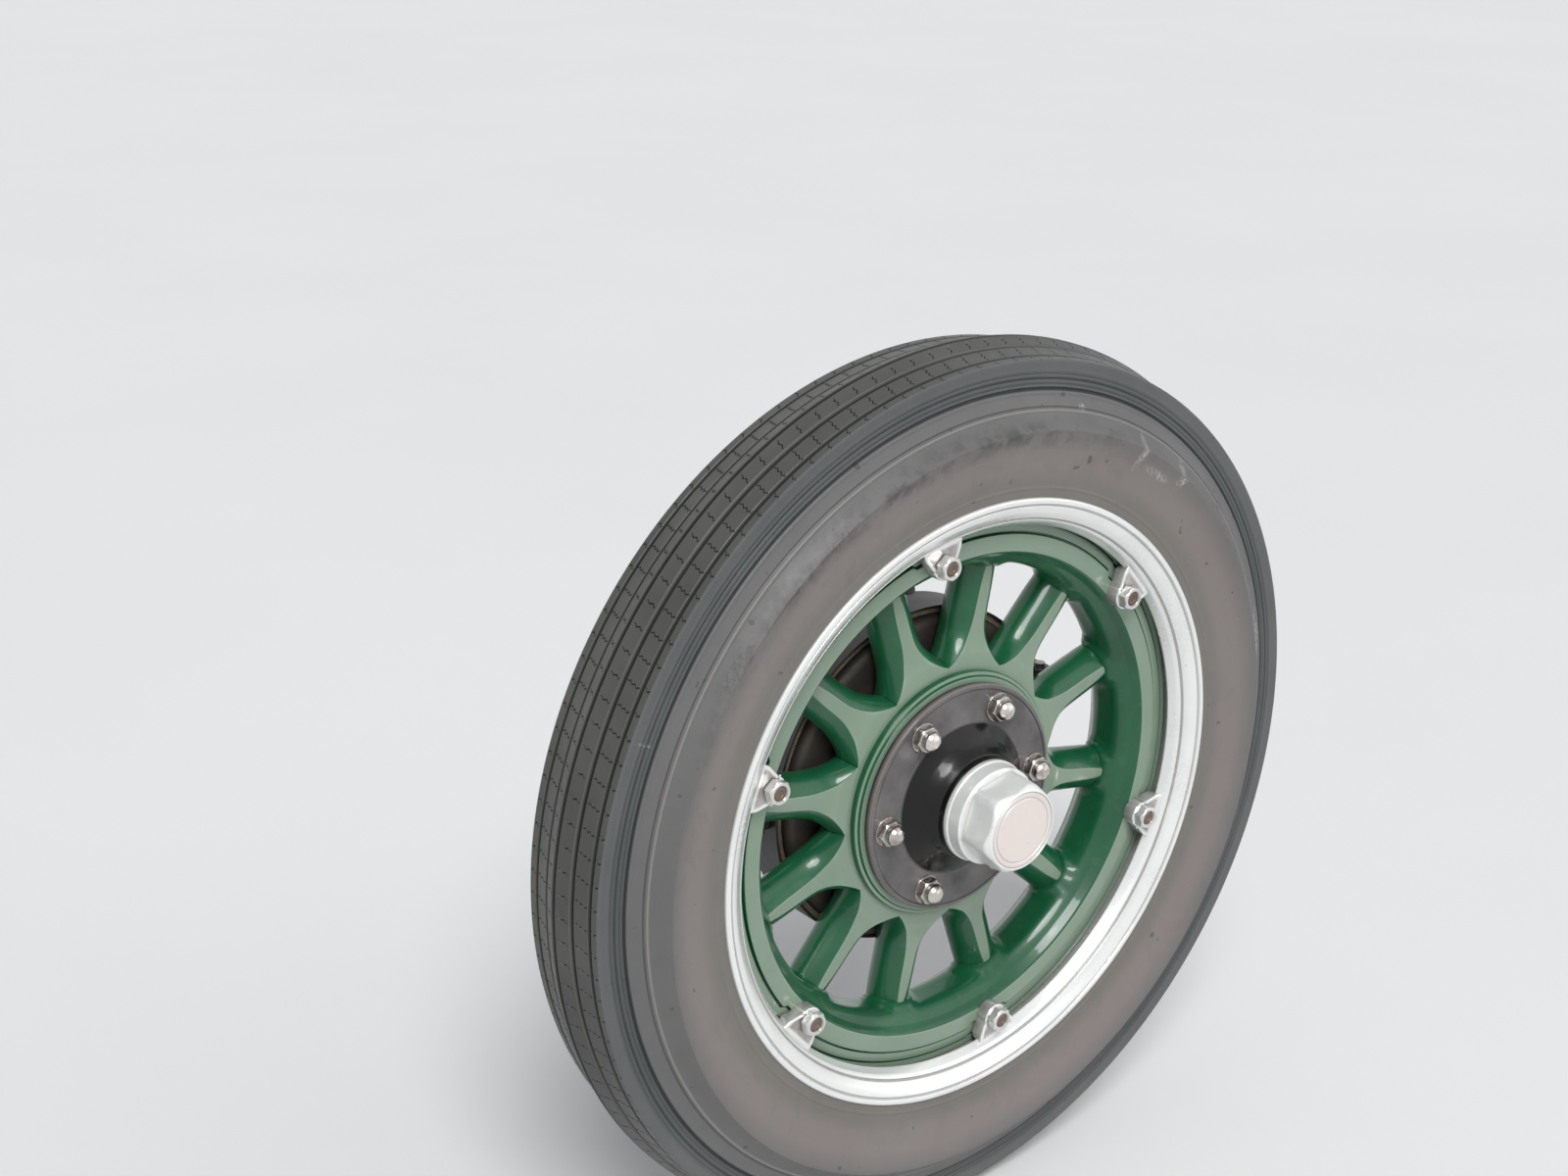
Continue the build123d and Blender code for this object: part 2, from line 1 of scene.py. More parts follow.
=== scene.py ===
# Spoked wheel of an old car with the end of its driven axle, dressed for a studio picture.
# Metres. Y runs along the axle, from the hub cap (-Y) to the tube's cut end; X is the car's front, Z is up.
# Small sizes are written in millimetres and multiplied by mm.
import math
import bpy
import numpy as np
from mathutils import Euler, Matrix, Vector


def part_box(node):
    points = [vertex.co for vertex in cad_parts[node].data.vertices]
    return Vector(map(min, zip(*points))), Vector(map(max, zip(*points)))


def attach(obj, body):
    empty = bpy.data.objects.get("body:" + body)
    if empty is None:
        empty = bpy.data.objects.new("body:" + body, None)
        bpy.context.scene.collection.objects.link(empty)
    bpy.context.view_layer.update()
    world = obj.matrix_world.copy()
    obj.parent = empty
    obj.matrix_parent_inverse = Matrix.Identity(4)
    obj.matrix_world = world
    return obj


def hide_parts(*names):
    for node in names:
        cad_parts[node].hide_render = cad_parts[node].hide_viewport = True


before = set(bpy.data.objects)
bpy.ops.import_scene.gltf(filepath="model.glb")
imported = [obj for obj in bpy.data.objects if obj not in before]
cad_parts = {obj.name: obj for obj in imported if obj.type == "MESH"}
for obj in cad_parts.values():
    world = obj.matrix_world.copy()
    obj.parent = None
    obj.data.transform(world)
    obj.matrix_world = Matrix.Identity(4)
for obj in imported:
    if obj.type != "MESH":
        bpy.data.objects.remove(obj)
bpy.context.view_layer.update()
mm = 0.001

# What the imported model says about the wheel's own places
rimLow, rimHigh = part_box("rim")
tyreLow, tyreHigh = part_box("tyre")
felloeLow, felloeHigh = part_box("felloe")
ringLow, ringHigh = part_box("spoke_ring")
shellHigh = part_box("hub_shell")[1]
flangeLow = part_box("hub_flange")[0]
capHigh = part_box("hub_cap")[1]
rimFront = rimLow.y                          # plane of the rim's outer edge
wheelMiddle = (rimLow.y + rimHigh.y) / 2
spokePlane = (ringHigh.y + flangeLow.y) / 2
plateFront = ringLow.y - 8 * mm              # the black plate is 8 mm thick in front of the ring
barrelEnd = capHigh.y
felloeFront = felloeLow.y
felloeBack = felloeHigh.y
floorHeight = tyreLow.z
spokeAngles = 19 + 30 * np.arange(12)        # angles are degrees from X, seen from the front
lugAngles = 41.4 + 60 * np.arange(6)
boltAngles = 64.7 + 60 * np.arange(6)
valveAngle = 106
print("frame loaded:", len(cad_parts), "nodes")


# shapes worked out as arrays
def gridForm(points, looped=False, startPole=None, endPole=None, **marks):
    # points[i, j] is step i along a shape and step j around it; neighbours make four-sided faces.
    # A looped shape joins its last row to its first. A pole closes an end with a fan.
    # Marks are values for each point, which the materials read.
    rows, columns = points.shape[:2]
    i = np.arange(rows if looped else rows - 1)[:, None]
    j = np.arange(columns)[None, :]
    after = (j + 1) % columns
    below = (i + 1) % rows
    quads = np.stack([i * columns + j, i * columns + after, below * columns + after, below * columns + j], -1)
    places = points.reshape(-1, 3)
    values = {key: np.broadcast_to(value, (rows, columns)).reshape(-1) for key, value in marks.items()}
    fans = [np.zeros((0, 3), int)]
    for pole, row in ((startPole, 0), (endPole, rows - 1)):
        if pole is not None:
            edge = row * columns + np.arange(columns)
            tip = np.full(columns, len(places))
            fan = (np.roll(edge, -1), edge, tip) if row == 0 else (edge, np.roll(edge, -1), tip)
            fans.append(np.stack(fan, -1))
            places = np.vstack([places, pole])
            values = {key: np.append(value, value[edge[0]]) for key, value in values.items()}
    return outward(places, quads.reshape(-1, 4), np.vstack(fans), values)


def outward(places, quads, fans, values):
    # The faces point outwards when the pyramids from the origin to them add up to a positive volume
    corners = np.vstack([quads[:, [0, 1, 2]], quads[:, [0, 2, 3]], fans])
    a, b, c = (places[corners[:, k]] for k in range(3))
    if np.einsum("ij,ij->", a, np.cross(b, c)) < 0:
        quads, fans = quads[:, ::-1], fans[:, ::-1]
    return {"places": places, "quads": quads, "fans": fans, "marks": values}


def joined(forms):
    # Several forms as one: the faces of each count on from the points of those before it
    starts = np.cumsum([0] + [len(f["places"]) for f in forms])
    return {
        "places": np.vstack([f["places"] for f in forms]),
        "quads": np.vstack([f["quads"] + s for f, s in zip(forms, starts)]),
        "fans": np.vstack([f["fans"] + s for f, s in zip(forms, starts)]),
        "marks": {key: np.concatenate([f["marks"][key] for f in forms]) for key in forms[0]["marks"]},
    }


def aboutAxle(form, angle):
    # A form that stands on Z, turned about the axle to an angle counted from X as seen from the front
    turn = math.radians(angle - 90)
    x, y, z = form["places"].T
    cosine, sine = math.cos(turn), math.sin(turn)
    turned = np.stack([x * cosine - z * sine, y, x * sine + z * cosine], -1)
    return {**form, "places": turned}


def roundTheAxle(form, angles):
    return joined([aboutAxle(form, angle) for angle in angles])


def softened(corners, looped=False, arcSteps=5):
    # Rows of (radius, y, rounding): each corner becomes an arc of its rounding that touches both its sides
    corners = np.array(corners, float)
    last = len(corners) - 1
    runs = []
    for k, (radius, y, rounding) in enumerate(corners):
        here = np.array([radius, y])
        if rounding == 0 or (not looped and k in (0, last)):
            runs.append(here[None])
            continue
        before = corners[k - 1, :2] - here
        beyond = corners[(k + 1) % len(corners), :2] - here
        longBefore, longBeyond = np.linalg.norm(before), np.linalg.norm(beyond)
        before, beyond = before / longBefore, beyond / longBeyond
        half = math.acos(np.clip(before @ beyond, -1, 1)) / 2
        cut = min(rounding / math.tan(half), 0.499 * longBefore, 0.499 * longBeyond)
        arc = cut * math.tan(half)
        middle = here + (before + beyond) / np.linalg.norm(before + beyond) * arc / math.sin(half)
        first = np.arctan2(*(here + before * cut - middle)[::-1])
        final = np.arctan2(*(here + beyond * cut - middle)[::-1])
        sweep = (final - first + math.pi) % (2 * math.pi) - math.pi
        turn = first + sweep * np.linspace(0, 1, arcSteps + 1)
        runs.append(middle + arc * np.stack([np.cos(turn), np.sin(turn)], -1))
    return np.vstack(runs)


def runLength(profile):
    return np.append(0, np.cumsum(np.linalg.norm(np.diff(profile, axis=0), axis=1)))


def evenly(profile, step):
    # More points along the straight runs, so that no run is longer than a step
    runs = [np.linspace(a, b, max(int(np.linalg.norm(b - a) / step), 1), endpoint=False)
            for a, b in zip(profile[:-1], profile[1:])]
    return np.vstack(runs + [profile[-1:]])


def turnedPoints(profile, columns):
    # x = r cos a, z = r sin a, and y as it is
    a = np.linspace(0, 2 * math.pi, columns, endpoint=False)[None, :]
    r, y = profile[:, :1], profile[:, 1:2]
    return np.stack([r * np.cos(a), y + 0 * a, r * np.sin(a)], -1)


def turnedForm(profile, columns, looped=True, **marks):
    profile = np.asarray(profile)
    poles = {}
    if not looped:
        poles = {"startPole": [0, profile[0, 1], 0], "endPole": [0, profile[-1, 1], 0]}
    return gridForm(turnedPoints(profile, columns), looped, **poles, **marks)


def smoothStep(low, high, value):
    t = np.clip((value - low) / (high - low), 0, 1)
    return t * t * (3 - 2 * t)


def softMin(a, b, blend):
    # The smaller of two values, rounded over where they cross
    h = np.clip(0.5 + 0.5 * (b - a) / blend, 0, 1)
    return b * (1 - h) + a * h - blend * h * (1 - h)


def hexRadius(turn, flats):
    # Distance from the middle to the side of a hexagon, in the direction of each turn
    return flats / 2 / np.cos((turn + math.pi / 6) % (math.pi / 3) - math.pi / 6)


def makePiece(name, form, material, body, stands=(), sharpAngle=35):
    quads, fans, places = form["quads"], form["fans"], form["places"]
    mesh = bpy.data.meshes.new(name)
    mesh.vertices.add(len(places))
    mesh.vertices.foreach_set("co", places.astype(np.float32).ravel())
    loops = np.concatenate([quads.ravel(), fans.ravel()]).astype(np.int32)
    starts = np.concatenate([np.arange(len(quads)) * 4, len(quads) * 4 + np.arange(len(fans)) * 3])
    mesh.loops.add(len(loops))
    mesh.loops.foreach_set("vertex_index", loops)
    mesh.polygons.add(len(starts))
    mesh.polygons.foreach_set("loop_start", starts.astype(np.int32))
    mesh.update(calc_edges=True)
    for key, values in form["marks"].items():
        mark = mesh.attributes.new(key, "FLOAT", "POINT")
        mark.data.foreach_set("value", values.astype(np.float32))
    mesh.shade_smooth()
    mesh.set_sharp_from_angle(angle=math.radians(sharpAngle))
    mesh.materials.append(material)
    piece = bpy.data.objects.new(name, mesh)
    bpy.context.scene.collection.objects.link(piece)
    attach(piece, body)
    if stands:
        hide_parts(*stands)
    return piece


# materials
class Shader:
    # One node material: its nodes are added by short calls that return the socket they make
    def __init__(self, name):
        self.material = bpy.data.materials.new(name)
        self.material.use_nodes = True
        self.tree = self.material.node_tree
        self.tree.nodes.clear()
        self.output = self.tree.nodes.new("ShaderNodeOutputMaterial")
        self.surface = self.tree.nodes.new("ShaderNodeBsdfPrincipled")
        self.tree.links.new(self.surface.outputs[0], self.output.inputs["Surface"])

    def feed(self, socket, value):
        if isinstance(value, bpy.types.NodeSocket):
            self.tree.links.new(value, socket)
        elif hasattr(value, "__len__") and len(value) == 3 and socket.type == "RGBA":
            socket.default_value = (*value, 1)
        else:
            socket.default_value = value

    def add(self, kind, outlet=0, inputs=(), **settings):
        node = self.tree.nodes.new("ShaderNode" + kind)
        for key, value in settings.items():
            setattr(node, key, value)
        for key, value in dict(inputs).items():
            self.feed(node.inputs[key], value)
        return node.outputs[outlet]

    def place(self):
        return self.add("TexCoord", "Object")

    def mark(self, name):
        return self.add("Attribute", "Fac", attribute_name=name)

    def noise(self, scale, detail=4, rough=0.55, stretch=None, warp=0.0):
        where = self.place()
        if stretch:
            where = self.add("Mapping", inputs={"Vector": where, "Scale": stretch})
        return self.add("TexNoise", inputs={"Vector": where, "Scale": scale, "Detail": detail,
                                            "Roughness": rough, "Distortion": warp})

    def math(self, how, a, b=0.0, clamp=False):
        return self.add("Math", inputs={0: a, 1: b}, operation=how, use_clamp=clamp)

    def span(self, value, low, high, toLow=0.0, toHigh=1.0):
        # Carries low..high onto toLow..toHigh and stops at both ends
        return self.add("MapRange", inputs={"Value": value, "From Min": low, "From Max": high,
                                            "To Min": toLow, "To Max": toHigh}, clamp=True)

    def mix(self, share, a, b):
        node = self.tree.nodes.new("ShaderNodeMix")
        node.data_type = "RGBA"
        self.feed(node.inputs[0], share)
        self.feed(node.inputs[6], a)
        self.feed(node.inputs[7], b)
        return node.outputs[2]

    def facing(self):
        # How squarely the surface faces the front of the wheel (-Y): 1 is flat on
        normal = self.add("NewGeometry", "Normal")
        return self.math("MULTIPLY", self.add("SeparateXYZ", "Y", {0: normal}), -1.0)

    def awayFromAxle(self):
        # Distance from the axle's line
        where = self.add("Mapping", inputs={"Vector": self.place(), "Scale": (1, 0, 1)})
        return self.add("VectorMath", "Value", {0: where}, operation="LENGTH")

    def bump(self, height, strength, distance):
        bump = self.add("Bump", inputs={"Height": height, "Strength": strength, "Distance": distance})
        self.feed(self.surface.inputs["Normal"], bump)
        return bump

    def finish(self, **inputs):
        for key, value in inputs.items():
            self.feed(self.surface.inputs[key.replace("_", " ")], value)
        return self.material


rubber = {
    "warm": (0.205, 0.178, 0.170), "cool": (0.127, 0.126, 0.128), "dark": (0.068, 0.076, 0.077),
    # deep is the colour of the painted shade in grooves and cuts
    "tread": (0.055, 0.056, 0.052), "deep": (0.012, 0.012, 0.012), "dust": (0.27, 0.26, 0.25),
    "rimSide": (0.165, 0.155, 0.140), "chalk": (0.52, 0.49, 0.48), "smudge": (0.050, 0.048, 0.048),
    # marks on the wall: angle, radius, half length round the wheel and along the radius, strength, tone
    "scuffs": ((51.5, 346, 7, 17, 0.9, "chalk"), (62, 341, 5, 20, 0.9, "chalk"),
               (57, 331, 22, 5, 0.6, "chalk"), (13, 366, 34, 8, 0.7, "chalk"),
               (75, 362, 6, 4, 0.8, "chalk"), (157, 388, 1.6, 13, 0.7, "chalk"),
               (122, 343, 28, 7, 0.6, "smudge"),
               (144, 347, 38, 7, 0.5, "smudge"), (58, 298, 3, 3, 0.8, "smudge"),
               (88, 300, 3, 4, 0.8, "smudge"), (187, 391, 1.2, 14, 0.9, "smudge")),
    "scuffDeep": 60,
    "darkRingRadius": 342, "darkRingWide": 16,
}


def rubberShader():
    s = Shader("tyreRubber")
    fine = s.noise(420, 5, 0.6)
    broad = s.noise(9, 4, 0.6)
    streak = s.noise(38, 5, 0.65, warp=0.6)
    colour = s.mix(s.mark("cool"), rubber["warm"], rubber["cool"])
    colour = s.mix(s.mark("rimSide"), colour, rubber["rimSide"])
    colour = s.mix(s.mark("band"), colour, rubber["dark"])
    # the tread's own darker rubber, darkened further as painted shade
    colour = s.mix(s.mark("tread"), colour, rubber["tread"])
    # dust and handling marks, in broad soft clouds
    colour = s.mix(s.span(broad, 0.35, 0.8, 0.0, 0.16), colour, rubber["dust"])
    colour = s.mix(s.span(streak, 0.52, 0.9, 0.0, 0.22), colour, rubber["dark"])
    away = s.awayFromAxle()
    # a dark, broken ring round the wall, only on its upper left side
    offRing = s.math("ABSOLUTE", s.math("SUBTRACT", away, rubber["darkRingRadius"] * mm))
    ringShare = s.span(offRing, rubber["darkRingWide"] * mm, 0.0, 0.0, 1.0)
    height = s.add("SeparateXYZ", "Z", {0: s.place()})
    side = s.add("SeparateXYZ", "X", {0: s.place()})
    ringShare = s.math("MULTIPLY", ringShare, s.span(height, 0.1, 0.26))
    ringShare = s.math("MULTIPLY", ringShare, s.span(side, 0.20, 0.02))
    blotch = s.span(s.noise(60, 3, 0.6), 0.44, 0.62, 0.0, 0.75)
    colour = s.mix(s.math("MULTIPLY", ringShare, blotch), colour, rubber["smudge"])
    # chalky scuffs where the wall has touched a kerb, and dark smudges: each in its own oval
    scraped = s.span(s.noise(170, 6, 0.7, stretch=(2.2, 1, 1), warp=1.4), 0.47, 0.58)
    for angle, radius, around, along, strength, tone in rubber["scuffs"]:
        turn = math.radians(angle)
        middle = (radius * mm * math.cos(turn), tyreLow.y, radius * mm * math.sin(turn))
        oval = s.add("Mapping", inputs={"Vector": s.place(), "Location": middle, "Rotation": (0, -turn, 0),
                                        "Scale": (along * mm, rubber["scuffDeep"] * mm, around * mm)},
                     vector_type="TEXTURE")
        off = s.add("VectorMath", "Value", {0: oval}, operation="LENGTH")
        share = s.math("MULTIPLY", s.span(off, 1.0, 0.4, 0.0, strength), scraped)
        colour = s.mix(share, colour, rubber[tone])
    # a few small dark specks
    colour = s.mix(s.span(s.noise(95, 1, 0.3), 0.765, 0.785, 0.0, 0.6), colour, rubber["smudge"])
    colour = s.mix(s.mark("worn"), colour, rubber["dust"])
    # painted shade: near black in the grooves and cuts
    colour = s.mix(s.mark("deep"), colour, rubber["deep"])
    s.bump(s.math("ADD", s.math("MULTIPLY", fine, 0.35), streak), 0.35, 0.0006)
    return s.finish(Base_Color=colour, Roughness=s.span(streak, 0.3, 0.8, 0.40, 0.54), IOR=1.45)


enamel = {
    # the pale sage is a painted reflection on faces that look outwards, and edge is a painted highlight along
    # their edges
    "green": (0.009, 0.112, 0.043), "deepGreen": (0.004, 0.066, 0.026), "sageReflection": (0.235, 0.315, 0.235),
    "edge": (0.36, 0.44, 0.35), "dust": (0.30, 0.31, 0.27),
}


def enamelShader():
    s = Shader("greenEnamel")
    broad = s.noise(14, 4, 0.6)
    fine = s.noise(900, 3, 0.6)
    facing = s.facing()
    colour = s.mix(s.span(broad, 0.3, 0.75), enamel["green"], enamel["deepGreen"])
    # painted reflection: faces that look outwards are made pale sage, like gloss enamel mirroring a bright
    # floor, and a painted highlight line runs along their edges
    reflectionShare = s.span(facing, 0.925, 0.955)
    colour = s.mix(s.math("MULTIPLY", reflectionShare, s.span(broad, 0.2, 0.8, 0.78, 1.0)), colour, enamel["sageReflection"])
    line = s.math("MULTIPLY", s.span(facing, 0.90, 0.935), s.span(facing, 0.975, 0.945))
    colour = s.mix(s.math("MULTIPLY", line, 0.6), colour, enamel["edge"])
    grime = s.span(s.noise(70, 5, 0.7), 0.56, 0.8, 0.0, 0.10)
    colour = s.mix(grime, colour, enamel["dust"])
    s.bump(s.math("ADD", s.math("MULTIPLY", fine, 0.2), s.noise(55, 3, 0.5)), 0.12, 0.0005)
    return s.finish(Base_Color=colour, Roughness=0.32, IOR=1.4, Coat_Weight=0.55, Coat_Roughness=0.05,
                    Coat_IOR=1.45)


# the warm grey is a painted reflection of a bright floor on faces that look outwards; edge is a painted
# highlight on the plate's rolled rim
black = {"paint": (0.004, 0.004, 0.0045), "reflectionGrey": (0.175, 0.165, 0.165), "edge": (0.42, 0.36, 0.35)}


def blackShader():
    s = Shader("blackEnamel")
    broad = s.noise(22, 4, 0.6)
    facing = s.facing()
    # painted reflection: faces that look outwards turn warm grey, in clouds
    share = s.math("MULTIPLY", s.span(facing, 0.90, 0.99), s.span(broad, 0.3, 0.7, 0.4, 1.0))
    colour = s.mix(share, black["paint"], black["reflectionGrey"])
    # painted highlight along the plate's rolled edge
    colour = s.mix(s.mark("worn"), colour, black["edge"])
    s.bump(s.noise(60, 3, 0.5), 0.06, 0.0004)
    return s.finish(Base_Color=colour, Roughness=0.28, IOR=1.3, Coat_Weight=0.35, Coat_Roughness=0.06,
                    Coat_IOR=1.45)


silver = {"bright": (0.88, 0.885, 0.88), "dull": (0.70, 0.70, 0.695), "soil": (0.16, 0.14, 0.125),
          "grime": (0.33, 0.30, 0.27)}


def silverShader():
    s = Shader("silverEnamel")
    broad = s.noise(17, 4, 0.6)
    colour = s.mix(s.span(broad, 0.4, 0.8, 0.0, 0.5), silver["bright"], silver["dull"])
    specks = s.span(s.noise(150, 3, 0.6), 0.70, 0.78, 0.0, 0.5)
    colour = s.mix(specks, colour, silver["soil"])
    colour = s.mix(s.math("MULTIPLY", s.mark("dirty"), s.span(s.noise(90, 5, 0.7), 0.3, 0.7, 0.35, 1.0)),
                   colour, silver["grime"])
    # painted shade in the rim's grooves and the lug nuts' holes, in the soil colour
    colour = s.mix(s.mark("soiled"), colour, silver["soil"])
    s.bump(s.noise(300, 3, 0.6), 0.15, 0.0003)
    return s.finish(Base_Color=colour, Metallic=0.45, Roughness=s.span(broad, 0.3, 0.8, 0.20, 0.34), IOR=1.5,
                    Coat_Weight=0.6, Coat_Roughness=0.08)


# colour of the painted shade in the corners of the acorn nuts
paintedMetalShade = (0.06, 0.05, 0.045)


def plainMetalShader(name, bright, dull, roughLow, roughHigh, metallic=1.0, scale=60, bumpHeight=0.0003,
                     rust=None):
    # Bare or plated metal: two tones in clouds, painted shade in its corners where a piece marks them, and
    # rust in spots where noise is high
    s = Shader(name)
    broad = s.noise(scale / 3, 4, 0.6)
    fine = s.noise(scale * 4, 4, 0.6)
    colour = s.mix(s.span(broad, 0.35, 0.75), bright, dull)
    colour = s.mix(s.mark("soiled"), colour, paintedMetalShade)
    if rust:
        colour = s.mix(s.span(s.noise(scale, 6, 0.7), 0.5, 0.68, 0.0, 0.85), colour, rust)
    s.bump(s.math("ADD", fine, broad), 0.25, bumpHeight)
    return s.finish(Base_Color=colour, Metallic=metallic, IOR=1.5,
                    Roughness=s.span(fine, 0.3, 0.75, roughLow, roughHigh))


nickel = {"bright": (0.93, 0.93, 0.925), "dull": (0.88, 0.88, 0.875), "face": (0.84, 0.75, 0.71),
          "soil": (0.16, 0.13, 0.115), "grime": (0.30, 0.25, 0.22), "turnedRings": 2600.0}


def capShader():
    # Bright nickel, with fine rings left by turning on the face, worn a little pink
    s = Shader("brightNickel")
    away = s.awayFromAxle()
    rings = s.add("TexNoise",
                  inputs={"W": s.math("MULTIPLY", away, nickel["turnedRings"]), "Scale": 1.0, "Detail": 2.0},
                  noise_dimensions="1D")
    broad = s.noise(40, 4, 0.6)
    facing = s.facing()
    colour = s.mix(s.span(broad, 0.35, 0.7), nickel["bright"], nickel["dull"])
    onFace = s.math("MULTIPLY", s.span(facing, 0.97, 0.995), s.span(away, 0.0365, 0.0355))
    colour = s.mix(onFace, colour, nickel["face"])
    # darker where the cap's form marks it, in the soil colour
    colour = s.mix(s.mark("soiled"), colour, nickel["soil"])
    soil = s.span(s.noise(240, 4, 0.65), 0.62, 0.75, 0.0, 0.25)
    colour = s.mix(soil, colour, nickel["grime"])
    height = s.math("MULTIPLY", rings, onFace)
    s.bump(s.math("ADD", height, s.math("MULTIPLY", s.noise(120, 3, 0.5), 0.5)), 0.3, 0.0002)
    return s.finish(Base_Color=colour, Metallic=0.35, Roughness=s.span(broad, 0.3, 0.7, 0.28, 0.40), IOR=1.5)


def sootShader(name, base, pale, rough, dusty):
    # Dull chassis paint under road dust, which lies thickest on what faces up
    s = Shader(name)
    broad = s.noise(16, 5, 0.65)
    normal = s.add("NewGeometry", "Normal")
    up = s.span(s.add("SeparateXYZ", "Z", {0: normal}), -0.1, 1.0, 0.15, 1.0)
    share = s.math("MULTIPLY", s.span(broad, 0.3, 0.75, 0.1, dusty), up)
    colour = s.mix(share, base, pale)
    s.bump(s.noise(180, 5, 0.65), 0.35, 0.0006)
    return s.finish(Base_Color=colour, Roughness=s.span(broad, 0.3, 0.8, rough, rough + 0.25), IOR=1.5)


lining = {"dark": (0.16, 0.12, 0.09), "pale": (0.32, 0.25, 0.18), "soot": (0.05, 0.045, 0.04),
          "threadsAcross": 2600.0, "threadsAround": 420.0}


def liningShader():
    # Woven lining: two crossed sets of threads, one along the axle and one across it
    s = Shader("wovenLining")
    x, y, z = (s.add("SeparateXYZ", axis, {0: s.place()}) for axis in "XYZ")
    around = s.math("ARCTAN2", z, x)
    across = s.math("SINE", s.math("MULTIPLY", y, lining["threadsAcross"]))
    along = s.math("SINE", s.math("MULTIPLY", around, lining["threadsAround"]))
    weave = s.math("MULTIPLY", across, along)
    colour = s.mix(s.span(weave, -1.0, 1.0), lining["dark"], lining["pale"])
    colour = s.mix(s.span(s.noise(50, 4, 0.6), 0.45, 0.75, 0.0, 0.7), colour, lining["soot"])
    s.bump(weave, 0.6, 0.0006)
    return s.finish(Base_Color=colour, Roughness=0.85)


paint = {
    "rubber": rubberShader(),
    "green": enamelShader(),
    "black": blackShader(),
    "silver": silverShader(),
    "cap": capShader(),
    "nut": plainMetalShader("nutNickel", (0.74, 0.71, 0.67), (0.50, 0.46, 0.43), 0.16, 0.34,
                            rust=(0.20, 0.13, 0.09)),
    "stud": plainMetalShader("brownStud", (0.26, 0.20, 0.16), (0.15, 0.11, 0.08), 0.4, 0.6, 0.8),
    "steel": plainMetalShader("oiledSteel", (0.38, 0.36, 0.34), (0.20, 0.19, 0.18), 0.28, 0.48,
                              rust=(0.13, 0.075, 0.045)),
    "iron": plainMetalShader("drumIron", (0.075, 0.068, 0.062), (0.045, 0.04, 0.036), 0.5, 0.7, 0.5,
                             rust=(0.12, 0.06, 0.035)),
    "chassis": sootShader("chassisBlack", (0.016, 0.016, 0.016), (0.16, 0.145, 0.125), 0.34, 0.45),
    "valve": sootShader("valveRubber", (0.022, 0.022, 0.022), (0.20, 0.19, 0.17), 0.5, 0.5),
    "lining": liningShader(),
}
print("materials made:", len(paint))


# tyre
tyre = {
    # one side, crown to rim: radius, distance from the wheel's middle, bulge of the run that leads there
    "outline": ((411.5, 0, 0), (400.7, 47.2, 2.6), (400.0, 48.0, 0.15), (391.0, 46.6, 0), (390.3, 46.9, 0),
                (344, 71.0, 7.3), (283.9, 57.5, 3.2)),
    "cornerRow": 3,              # where the tread's square side meets the wall
    "beadWide": 17.0,
    # rings on the wall: radius, width, height (grooves are below 0), and the strength of the painted shade in
    # them
    "rings": ((387.6, 1.6, -0.5, 0.3), (383.5, 2.0, -0.9, 0.6), (379.2, 1.5, -0.5, 0.3),
              (375.2, 3.0, -1.5, 0.9), (372.0, 2.6, 0.35, 0), (361.2, 1.4, -0.5, 0.5),
              (358.4, 2.8, 1.0, 0), (291.5, 3.0, 0.5, 0)),
    "columns": 256,
}
tread = {
    "grooves": (-37.3, -17.7, 0, 17.7, 37.3),
    "grooveWide": 4.4,
    "grooveDeep": 4.0,
    "pitches": 124,
    "sipeWide": 1.6,
    "sipeDeep": 1.7,
    # each rib's cut: rib middle, half length across, lean (run along the tread for each mm across), wave mm
    "cuts": ((9, 4.4, -0.20, 1.0), (27.5, 7.2, -0.25, 1.2), (44.6, 4.6, -0.30, 1.0)),
    "ribHalf": 8.9,
    "ribRows": 8,
}


def tyreOutline():
    # (radius, y) of one side, with y counted from the wheel's middle. Between two corners the run stands
    # off its chord by a parabola: 4 u (1 - u) times the bulge, u being the share of the way.
    corners = np.array(tyre["outline"])
    runs = []
    for here, there in zip(corners[:-1], corners[1:]):
        chord = there[:2] - here[:2]
        long = np.linalg.norm(chord)
        u = np.linspace(0, 1, max(int(long / 0.8), 1), endpoint=False)[:, None]
        aside = np.array([-chord[1], chord[0]]) / long
        runs.append(here[:2] + chord * u + aside * (-4 * there[2]) * u * (u - 1))
    return np.vstack(runs + [corners[-1:, :2]]) * mm


